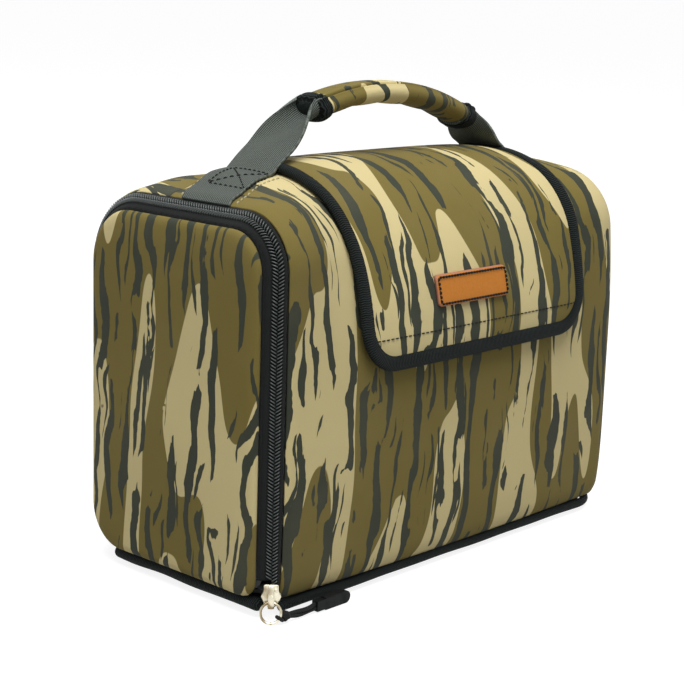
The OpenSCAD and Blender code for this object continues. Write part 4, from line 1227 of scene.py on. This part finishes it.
def make_tape(name, side, width, start):
    """Woven tape: a thin flat section carried along the chain, on one side of it."""
    s = np.linspace(start, ZIP_LENGTH, 420)
    place, out = zip_at(s)
    across, face = chain_axes(out)
    a, b = (0.0004, width) if side > 0 else (-width, -0.0004)
    t, mid = TAPE_T + TAPE_FACE, (a + b) / 2
    ring = np.array([[a, -t], [a, -TAPE_FACE], [mid, 0.00008 - TAPE_FACE], [b, -0.0001 - TAPE_FACE],
                     [b, -t], [mid, -t]])
    uv = uv_grid(s, ring_length(ring))
    return grid(name, carried(place, across, face, ring), uv, wrap_j=True, caps=True)


def make_coil(name, side, start, shift):
    """One side of the coil: each turn is a bead that slopes down to the chain's middle, with a
    six-sided section that is fat where it locks and narrower at the tape."""
    count = int((ZIP_LENGTH - start - 0.002) / COIL_PITCH)
    s0 = start + (np.arange(count) + 0.5 + shift) * COIL_PITCH
    k = np.linspace(-1, 1, 7)
    a = np.linspace(0, 2 * pi, 6, endpoint=False)
    reach = side * (0.0014 + k * COIL_LONG)
    fat = np.sqrt(np.clip(1 - np.abs(k) ** 6, 0.06, 1)) * (1 - 0.15 * (k + 1) / 2)
    s = s0[:, None] + 0.0010 * k[None]
    place, out = zip_at(s)
    across, face = chain_axes(out)
    along = unit(np.cross(across, face))
    crown = 0.0002 + 0.0006 * np.abs(k) ** 2.5
    mid = place + across * reach[None, :, None] - face * crown[None, :, None]
    P = (mid[:, :, None] + along[:, :, None] * (np.cos(a) * fat[:, None] * COIL_HALF)[None, ..., None]
         + face[:, :, None] * (np.sin(a) * fat[:, None] * COIL_FAT)[None, ..., None])
    s, reach = np.broadcast_to(s[:, :, None], P.shape[:3]), reach[None, :, None]
    return beads(name, P, np.stack(np.broadcast_arrays(s, reach), -1))


for name, side, node, body, width, start, shift in (
        ("bag", 1, "body", "bag", BODY_TAPE, 0.0, 0.0),
        ("panel", -1, "panel", "zip_panel", PANEL_TAPE, PANEL_ZIP_START, 0.5)):
    tape = finish(make_tape("tape_on_" + name, side, width, start), TAPE, body)
    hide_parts("zip_tape_" + node)
    coil = finish(make_coil("coil_on_" + name, side, start, shift), COIL, body)
    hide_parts("zip_teeth_" + node)
    s = np.linspace(start + 0.004, ZIP_LENGTH - 0.002, 500)
    place, out = zip_at(s)
    across, face = chain_axes(out)
    line = place + across * side * (width - 0.0012) - face * TAPE_FACE
    thread = stitches("tape_thread_on_" + name, line, face, 0.0028, 0.0012, 0.0005)
    finish(thread, THREAD, body)


# ---- Handle ----

def grip_mid(x):
    """Height of the grip's middle, a parabola along it."""
    return GRIP_Z - GRIP_DROP * ((x - GRIP_TOP_X) / GRIP_HL) ** 2


STRAP_WAY = np.array([(-0.1415, -0.0125), (-0.121, -0.0052), (-0.092, 0.0035), (-0.075, 0.003), (-0.057, 0)])
STRAP_CUBIC = np.polyfit(STRAP_WAY[:, 0], STRAP_WAY[:, 1], 3)
STRAP_LIFT = 0.0003


def strap_mid(x):
    """How far the left strap's middle lies from the bag's. It is sewn on askew, so this is a
    cubic through places read off the photograph, and stays level past its ends."""
    return np.polyval(STRAP_CUBIC, np.clip(x, -0.142, -0.057))


def make_strap(name, from_x, leave_x, neck_x, askew):
    """Webbing from its sewn end to the grip. Its cross section is an arc of the webbing's own
    width, flat on the bag, whose angle grows near the grip until the edges stand up in a U."""
    inside = neck_x + (0.010 if neck_x > from_x else -0.010)
    x = np.linspace(from_x, inside, 170)
    c = np.linspace(-1, 1, 45)
    u = np.clip((x - leave_x) / (neck_x - leave_x), 0, None)
    curl = 0.02 + 2.30 * ease((u - 0.36) / 0.66)
    radius = STRAP_W / 2 * (0.90 + 0.02 * ease(u)) / curl
    top = skin(leave_x, pi / 2, -STRAP_LIFT)[2]
    rise = (grip_mid(neck_x) - top - 0.0045) * np.clip(u, 0, 1)
    y = radius[:, None] * np.sin(curl[:, None] * c) + askew * strap_mid(x)[:, None]
    fold = radius[:, None] * (1 - np.cos(curl[:, None] * c)) * 0.62
    crest = skin(x, pi / 2, -STRAP_LIFT)[:, 2]
    phi = np.arctan2(crest[:, None] - MID_Z, y)
    lie = skin(x[:, None], phi, -STRAP_LIFT)[..., 2]
    free = ease(u * 2.2)[:, None]
    z = lie * (1 - free) + ((top + rise)[:, None] + fold) * free + rise[:, None] * (1 - free)
    z += 0.0007 * np.sin(c * 2.6 + u[:, None] * 5) * ease(u * 2)[:, None]
    z -= 0.0020 * askew * (1 - np.clip((x - RIM_X + 0.0015) / 0.005, 0, 1))[:, None] ** 2
    P = np.stack([np.broadcast_to(x[:, None], y.shape), y, z + STRAP_T * 1.02], -1)
    uv = uv_grid(run_length(P[:, 22]), (c + 1) * STRAP_W / 2)[..., ::-1]
    return thicken(grid(name, P, uv), STRAP_T * 0.8)


straps = {}
for side, from_x, leave_x, neck_x, askew, start, end in (
        ("left", -STRAP_LEFT_X - SEWN_LEFT - 0.0029, -STRAP_LEFT_X, NECK_LEFT, 1,
         (-0.094, 0, 0.2145), (-0.072, 0, 0.233)),
        ("right", STRAP_RIGHT_X + 0.2 * SEWN_RIGHT, STRAP_RIGHT_X - 0.005, NECK_RIGHT, 0,
         (0.097, 0, 0.2145), (0.080, 0, 0.231))):
    strap = make_strap("webbing_" + side, from_x, leave_x, neck_x, askew)
    straps[side] = finish(strap, WEBBING, None)
    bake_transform(strap)
    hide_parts("strap_" + side, "strap_anchor_" + side)


def grip_path(a, b, count):
    """The grip's middle line from one place to another."""
    x = np.linspace(a, b, count)
    return np.stack([x, 0 * x, grip_mid(x)], -1)


GRIP_SEAM, GRIP_POWER = radians(128), 2.15


def seamed(path, width, height, groove, swell):
    """An oval tube along the handle with a lengthwise seam: its radius drops in a narrow bell
    curve where the two edges meet and rises in a lip on each side."""
    a = np.unique(np.r_[np.linspace(0, 2 * pi, 64, endpoint=False),
                        GRIP_SEAM + np.radians(np.linspace(-14, 14, 23))])
    ring = superellipse(width, height, GRIP_POWER, a)
    off = np.degrees(np.abs(a - GRIP_SEAM))
    dent = -groove * np.exp(-(off / 3.6) ** 2) + 0.25 * groove * np.exp(-((off - 10) / 5) ** 2)
    radial = unit(np.stack([np.cos(a) / width, np.sin(a) / height], -1))
    ring = ring + radial * dent[:, None]
    across = np.array([0, 1.0, 0])
    out = unit(np.cross(across, unit(np.gradient(path, axis=0))))
    out = np.where(out[:, 2:] < 0, -out, out)
    direction = carried(0 * path, across, out, radial)
    uv = uv_grid(run_length(path), ring_length(ring))
    return carried(path, across, out, ring, swell), direction, a, uv


def make_grip():
    """The foam wrap round the webbing, with slow hand creases under it."""
    path = grip_path(GRIP_X - GRIP_HL + GRIP_END - 0.001, GRIP_X + GRIP_HL - GRIP_END + 0.001, 150)
    s = run_length(path)
    end = np.minimum(s, s[-1] - s)
    swell = 1 - 0.04 * (1 - np.clip(end / 0.008, 0, 1)) ** 2
    P, direction, a, uv = seamed(path, GRIP_W, GRIP_H, 0.0016, swell)
    below = np.clip(-np.sin(a), 0, 1) ** 2
    crease = 0.00035 * np.sin(s[:, None] / 0.0042 + 2.0 * np.cos(a)) * below
    crease = crease + 0.00022 * np.sin(s[:, None] / 0.017 + a)
    return grid("grip_foam", P + direction * crease[..., None], uv, wrap_j=True, caps=True)


def make_cuff(name, a, b):
    """The binding round the wrap's end, gathered in two lobes where the wrap's edges meet."""
    path = grip_path(a, b, 26)
    k = np.linspace(-1, 1, 26)
    swell = np.sqrt(np.clip(1 - np.abs(k) ** 5, 0.3, 1))
    P, direction, angle, uv = seamed(path, GRIP_W + 0.0024, GRIP_H + 0.0028, 0.0034, swell)
    ruck = 0.0003 * np.sin(angle * 3 + 1)[None] * np.cos(k * 4)[:, None]
    return grid(name, P + direction * ruck[..., None], uv, wrap_j=True, caps=True)


grip = finish(make_grip(), CAMO_GRIP, "handle")
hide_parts("grip_wrap")
for side, sign in (("left", -1), ("right", 1)):
    ends = sorted((GRIP_X + sign * (GRIP_HL - GRIP_END - 0.0018), GRIP_X + sign * (GRIP_HL + 0.0004)))
    cuff = finish(make_cuff("grip_cuff_" + side, *ends), BINDING, "handle")
    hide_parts("grip_binding_" + side)
foam = 0.0062
core = swept("grip_fill", grip_path(NECK_LEFT + 0.0003, NECK_RIGHT - 0.0003, 40), UP,
             oval(GRIP_W - foam, GRIP_H - foam, 2.2, 32))
finish(core, WEBBING, "handle")
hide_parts("grip_core")


# ---- Slider, ring and pull ----

SLIDER_FOOT, SLIDER_L, PLATE_FACE, PLATE_T = 0.007, 0.012, 0.0011, 0.0013
RING_R, RING_WIRE, RING_LEAN, RING_FACE, RING_Z = 0.0051, 0.0007, radians(25), 0.00345, 0.0102
KNOT_TURN, LOOP_R, LOOP_CORD, KNOT_R, CORD_D = radians(-150), 0.00165, 0.0009, 0.0026, 0.0021
ACROSS, FACE = np.array([1, -1, 0]) / 2 ** 0.5, np.array([-1, -1, 0]) / 2 ** 0.5
# The slider's outline: shares of its length from the foot, and half widths in millimetres.
SLIDER_OUTLINE = np.array([(0, 0.9), (0.03, 1.9), (0.08, 2.5), (0.16, 3.1), (0.26, 3.7), (0.37, 4.4),
                           (0.46, 4.95), (0.52, 4.95), (0.60, 4.3), (0.70, 3.8), (0.82, 3.65),
                           (0.94, 3.75), (1, 3.5)])


def on_chain(a, f, z):
    """A place by the zip's foot: across the chain, out of its face, and its height."""
    a, f, z = (v[..., None] for v in np.broadcast_arrays(np.asarray(a, float), f, z))
    return np.array([ZIP_X, -ZIP_HW, 0]) + ACROSS * a + FACE * f + UP * z


def half_width(v):
    """The slider's half width up its length, rounded from its outline."""
    fine = np.linspace(0, 1, 200)
    w = np.interp(fine, SLIDER_OUTLINE[:, 0], SLIDER_OUTLINE[:, 1] / 1000)
    smooth = np.convolve(np.pad(w, 6, mode="edge"), np.ones(13) / 13, mode="valid")
    return np.interp(v, fine, smooth)


def make_slider_plate():
    """A cast shield: superellipses across the chain whose width follows the outline and whose
    thickness swells to the middle."""
    v = np.r_[0, 0.008, 0.02, np.linspace(0.05, 0.95, 40), 0.98, 0.992, 1]
    end = np.sqrt(np.clip(1 - (1 - np.clip(np.minimum(v, 1 - v) / 0.03, 0, 1)) ** 2, 0.12, 1))
    thick = (PLATE_T + 0.0004 * np.sin(pi * v)) * (0.35 + 0.65 * end)
    ring = oval(1, 1, 3.4, 40)
    width = 2 * half_width(v) * (0.9 + 0.1 * end)
    P = on_chain(ring[None, :, 0] * width[:, None],
                 PLATE_FACE + PLATE_T / 2 + 0.0001 + ring[None, :, 1] * thick[:, None],
                 (SLIDER_FOOT + SLIDER_L * v)[:, None])
    return grid("slider_plate", P, np.zeros((len(v), 41, 2)), wrap_j=True, caps=True)


def make_slider_bridge():
    """The strap of the slider that holds the ring: a flat band arched over the wire."""
    arch = [(18.3, 2.4), (16.5, 2.9), (14.6, 3.9), (13.2, 4.75), (11.6, 5.05), (9.0, 5.0), (7.9, 4.6),
            (7.35, 3.6), (7.3, 2.4)]
    arch = smooth_profile(np.array(arch) / 1000, 60)
    path = on_chain(0 * arch[:, 0], arch[:, 1], arch[:, 0])
    return swept("slider_bridge", path, FACE, oval(0.0032, 0.0011, 3.0, 20))


def make_slider_pin():
    """The lock's rivet: a dome of revolution on the plate."""
    a = np.linspace(0, 2 * pi, 24, endpoint=False)
    k = np.linspace(0, pi / 2 * 0.97, 9)[:, None]
    r = 0.00095 * np.cos(k)
    P = on_chain(0.0024 + r * np.cos(a), PLATE_FACE + PLATE_T + 0.0006 * np.sin(k),
                 SLIDER_FOOT + 0.76 * SLIDER_L + r * np.sin(a))
    return grid("slider_pin", P, np.zeros((9, 25, 2)), wrap_j=True, caps=True)


def make_slider_rail(name, side):
    """The slider's turned-in edge, which runs beside the chain."""
    v = np.linspace(0.36, 0.97, 30)
    path = on_chain(side * (half_width(v) - 0.0004), 0.0008, SLIDER_FOOT + SLIDER_L * v)
    return swept(name, path, FACE, oval(0.0008, 0.0024, 2.6, 14), round_ends=0.0008)


def torus(name, middle, e1, e2, radius, wire, count=72, around=16):
    """A ring of round wire."""
    a = np.linspace(0, 2 * pi, count, endpoint=False)[:, None, None]
    b = np.linspace(0, 2 * pi, around, endpoint=False)[None, :, None]
    radial = e1 * np.cos(a) + e2 * np.sin(a)
    P = middle + radial * (radius + wire * np.cos(b)) + np.cross(e1, e2) * wire * np.sin(b)
    uv = uv_grid(np.linspace(0, 2 * pi * radius, count + 1), np.linspace(0, 2 * pi * wire, around + 1))
    return grid(name, P, uv, wrap_i=True, wrap_j=True)


plate = finish(make_slider_plate(), NICKEL, "slider")
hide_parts("zip_slider")
for piece in (make_slider_bridge(), make_slider_pin(), make_slider_rail("slider_rail_bag", 1),
              make_slider_rail("slider_rail_panel", -1)):
    finish(piece, NICKEL, "slider")
hang = FACE * np.sin(RING_LEAN) - UP * np.cos(RING_LEAN)
ring_middle = on_chain(0, RING_FACE, RING_Z) + hang * RING_R
ring = torus("wire_ring", ring_middle, ACROSS, hang, RING_R, RING_WIRE)
finish(ring, NICKEL, body_with("pull_ring"))
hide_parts("pull_ring")

radial = -ACROSS * np.cos(KNOT_TURN) - hang * np.sin(KNOT_TURN)
tangent = ACROSS * np.sin(KNOT_TURN) - hang * np.cos(KNOT_TURN)
knot_at = ring_middle + radial * RING_R
ball_at = knot_at + np.array([LOOP_R + 0.0022, 0, 0.0004])


def make_knot():
    """A tight overhand knot: a ball whose radius waves with both of its angles."""
    a = np.linspace(0, 2 * pi, 40, endpoint=False)[None, :, None]
    b = np.linspace(0.04, pi - 0.04, 26)[:, None, None]
    wave = 0.10 * np.sin(3 * a + 4 * b) * np.sin(b) + 0.05 * np.sin(5 * a - 3 * b + 1) * np.sin(b)
    P = np.concatenate([np.cos(b) + 0 * a, np.sin(b) * np.cos(a), np.sin(b) * np.sin(a)], -1)
    uv = uv_grid(b.ravel() * KNOT_R, np.linspace(0, 2 * pi * KNOT_R, 41))
    return grid("cord_knot", ball_at + KNOT_R * (1 + wave) * P, uv, wrap_j=True, caps=True)


knot = finish(make_knot(), CORD, body_with("pull_knot"))
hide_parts("pull_knot")
loop = torus("cord_loop", knot_at, radial, np.cross(tangent, radial), LOOP_R, LOOP_CORD, 40, 12)
finish(loop, CORD, body_with("pull_knot"))
tab_low, tab_high = (np.array(c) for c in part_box("pull_tab"))
start = ball_at + np.array([KNOT_R * 0.6, 0, 0])
stop = (tab_low + tab_high) / 2
stop[0] = tab_low[0] + 0.0006
k = np.linspace(0, 1, 50)
apart, droop = 0.00055 + 0.0005 * ease(k * 2.5), 0.0006 * np.sin(pi * k)
for strand, side in (("upper", 1), ("lower", -1)):
    line = start + (stop - start) * k[:, None]
    line[:, 1] += side * 0.0003 * np.sin(k * 7) - droop
    line[:, 2] += side * apart - droop
    cord = swept("pull_line_" + strand, line, UP, oval(CORD_D, CORD_D, 2.0, 14))
    finish(cord, CORD, body_with("pull_cord"))
    if side > 0:
        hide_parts("pull_cord")

dress(frame["nodes"]["pull_tab"], RUBBER)
dress(frame["nodes"]["base_board"], BOARD)

# ---- Sewing that shows, placed from the photograph ----

def sewn(name, tree, line, out, material, body, length, gap, width):
    """A row of stitches along a line that is pushed on from outside to the piece that carries it."""
    ways = list(zip(line, np.broadcast_to(out, line.shape)))
    met = [tree.ray_cast(Vector(p + o * 0.01), Vector(-o)) for p, o in ways]
    met = [m if m[0] else tree.find_nearest(Vector(p)) for m, p in zip(met, line)]
    places, normals = np.array([m[0] for m in met]), np.array([m[1] for m in met])
    row = stitches(name, places + normals * 0.0001, normals, length, gap, width)
    return finish(row, material, body)


sleeve_tree, flap_tree = surface_tree(sleeve_front, sleeve_back), surface_tree(flap)
strap_tree, badge_tree = surface_tree(straps["left"]), surface_tree(badge)
for row in ("seam_row_back", "seam_row_front"):
    at = on_surface(sleeve_tree, *IMAGE_POINTS[row])
    x = np.linspace(RIM_X + 0.0015, FLAP_X - FLAP_HW - 0.0065, 60)
    y = at[1] + strap_mid(x) - strap_mid(at[0])
    phi = np.full(60, pi / 2)
    for _ in range(8):
        phi = np.arctan2(skin(x, phi)[:, 2] - MID_Z, y)
    sewn(row, sleeve_tree, skin(x, phi), skin_normal(x, phi), PALE_THREAD, "bag",
         0.0028, 0.0014, 0.0009)

x = np.linspace(-FLAP_HW + BINDING_W / 2, FLAP_HW - BINDING_W / 2, 120) + FLAP_X
z = on_surface(flap_tree, *IMAGE_POINTS["flap_stitching"])[2]
phi = phi_at(x, z, -FLAP_OFF - FLAP_T)
sewn("flap_hem_row", flap_tree, skin(x, phi, -FLAP_OFF - FLAP_T), skin_normal(x, phi), THREAD,
     "flap", 0.0027, 0.0006, 0.0007)

near, far = (on_surface(strap_tree, *IMAGE_POINTS["strap_box_" + end]) for end in ("near", "far"))
wide = np.array([0, 0.0135])
near_a, near_b, far_a, far_b = near[:2] + wide, near[:2] - wide, far[:2] + wide, far[:2] - wide
box_x = ((near_a, near_b), (near_b, far_b), (far_b, far_a), (far_a, near_a), (near_a, far_b), (far_a, near_b))
for i, (a, b) in zip((0, 1, 2, 3, 4, 6), box_x):
    line = np.column_stack([a + (b - a) * np.linspace(0.02, 0.98, 24)[:, None], np.full(24, near[2])])
    sewn("strap_box_%d" % i, strap_tree, line, UP, THREAD, "bag", 0.0024, 0.0009, 0.0008)

edge_in, h = 0.0013, BADGE_BASE + BADGE_T
edge = rounded_box(BADGE_W / 2 - edge_in, BADGE_H / 2 - edge_in, edge_in, 8)
edge = resample(np.vstack([edge, edge[:1]]) + np.array([BADGE_X, BADGE_Z]), 160)
x, phi = edge[:, 0], phi_at(edge[:, 0], edge[:, 1], -h)
sewn("badge_border", badge_tree, skin(x, phi, -h), skin_normal(x, phi), THREAD, "flap",
     0.0021, 0.0002, 0.0013)

# ---- How far each thing shows from its image point ----

graph = bpy.context.evaluated_depsgraph_get()
in_view = [p for p in bpy.data.objects if p.type == "MESH" and not p.hide_render and p.name != "floor"]
trees = [BVHTree.FromObject(p, graph) for p in in_view]


def clear_view(p):
    """Whether nothing hides a place from the camera."""
    ray = Vector(p) - Vector(CAMERA_AT)
    way, length = ray.normalized(), ray.length - 0.0006
    return not any(tree.ray_cast(Vector(CAMERA_AT), way, length)[0] for tree in trees)


def shown(piece, x, y, reach_x, reach_y):
    """The piece's finished vertices that nothing hides and that show near an image point."""
    points = finished(piece)[0]
    at = in_photo(points)
    near = (np.abs(at[:, 0] - x) < reach_x) & (np.abs(at[:, 1] - y) < reach_y)
    points, at = points[near], at[near]
    step = max(1, len(at) // 300)
    return at[::step][np.array([clear_view(p) for p in points[::step]], bool)]


def off_point(name, pieces, reach_x, reach_y):
    """Distance in x and y from an image point to the middle of what shows of the pieces near it.
    Where none of them shows, it is the photograph's own size, which no fit can reach."""
    x, y = IMAGE_POINTS[name]
    at = np.concatenate([shown(named[piece], x, y, reach_x, reach_y) for piece in pieces])
    if not len(at):
        return float(PHOTO_W), float(PHOTO_H)
    mid = (at.min(0) + at.max(0)) / 2
    return float(mid[0] - x), float(mid[1] - y)


named = {p.name: p for p in in_view}
outline = np.concatenate([in_photo(finished(p)[0]) for p in in_view])
low, high, off = outline.min(0), outline.max(0), {}
for name, edge, axis in (("left_edge_x", low, 0), ("right_edge_x", high, 0),
                         ("top_edge_y", low, 1), ("bottom_edge_y", high, 1)):
    off[name] = [0.0, 0.0]
    off[name][axis] = float(edge[axis]) - IMAGE_POINTS[name]
WHOLE = {"badge": "badge_patch", "slider": "slider_plate", "pull_ring": "wire_ring", "pull_tab": "pull_tab",
         "grip_left_end": "grip_cuff_left", "grip_right_end": "grip_cuff_right"}
UPRIGHT = {"flap_binding_left": ("flap_edge_binding",), "zip_straight": ("coil_on_bag", "coil_on_panel")}
LEVEL = {"flap_foot": "flap_edge_binding", "flap_stitching": "flap_hem_row",
         "strap_box_near": "strap_box_0", "strap_box_far": "strap_box_2",
         "seam_row_back": "seam_row_back", "seam_row_front": "seam_row_front"}
for name, piece in WHOLE.items():
    off[name] = list(off_point(name, (piece,), PHOTO_W, PHOTO_H))
WINDOW, SLIT = 14.0, 3.0
for name, pieces in UPRIGHT.items():
    off[name] = [off_point(name, pieces, WINDOW, SLIT)[0], 0.0]
for name, piece in LEVEL.items():
    off[name] = [0.0, off_point(name, (piece,), SLIT, WINDOW)[1]]
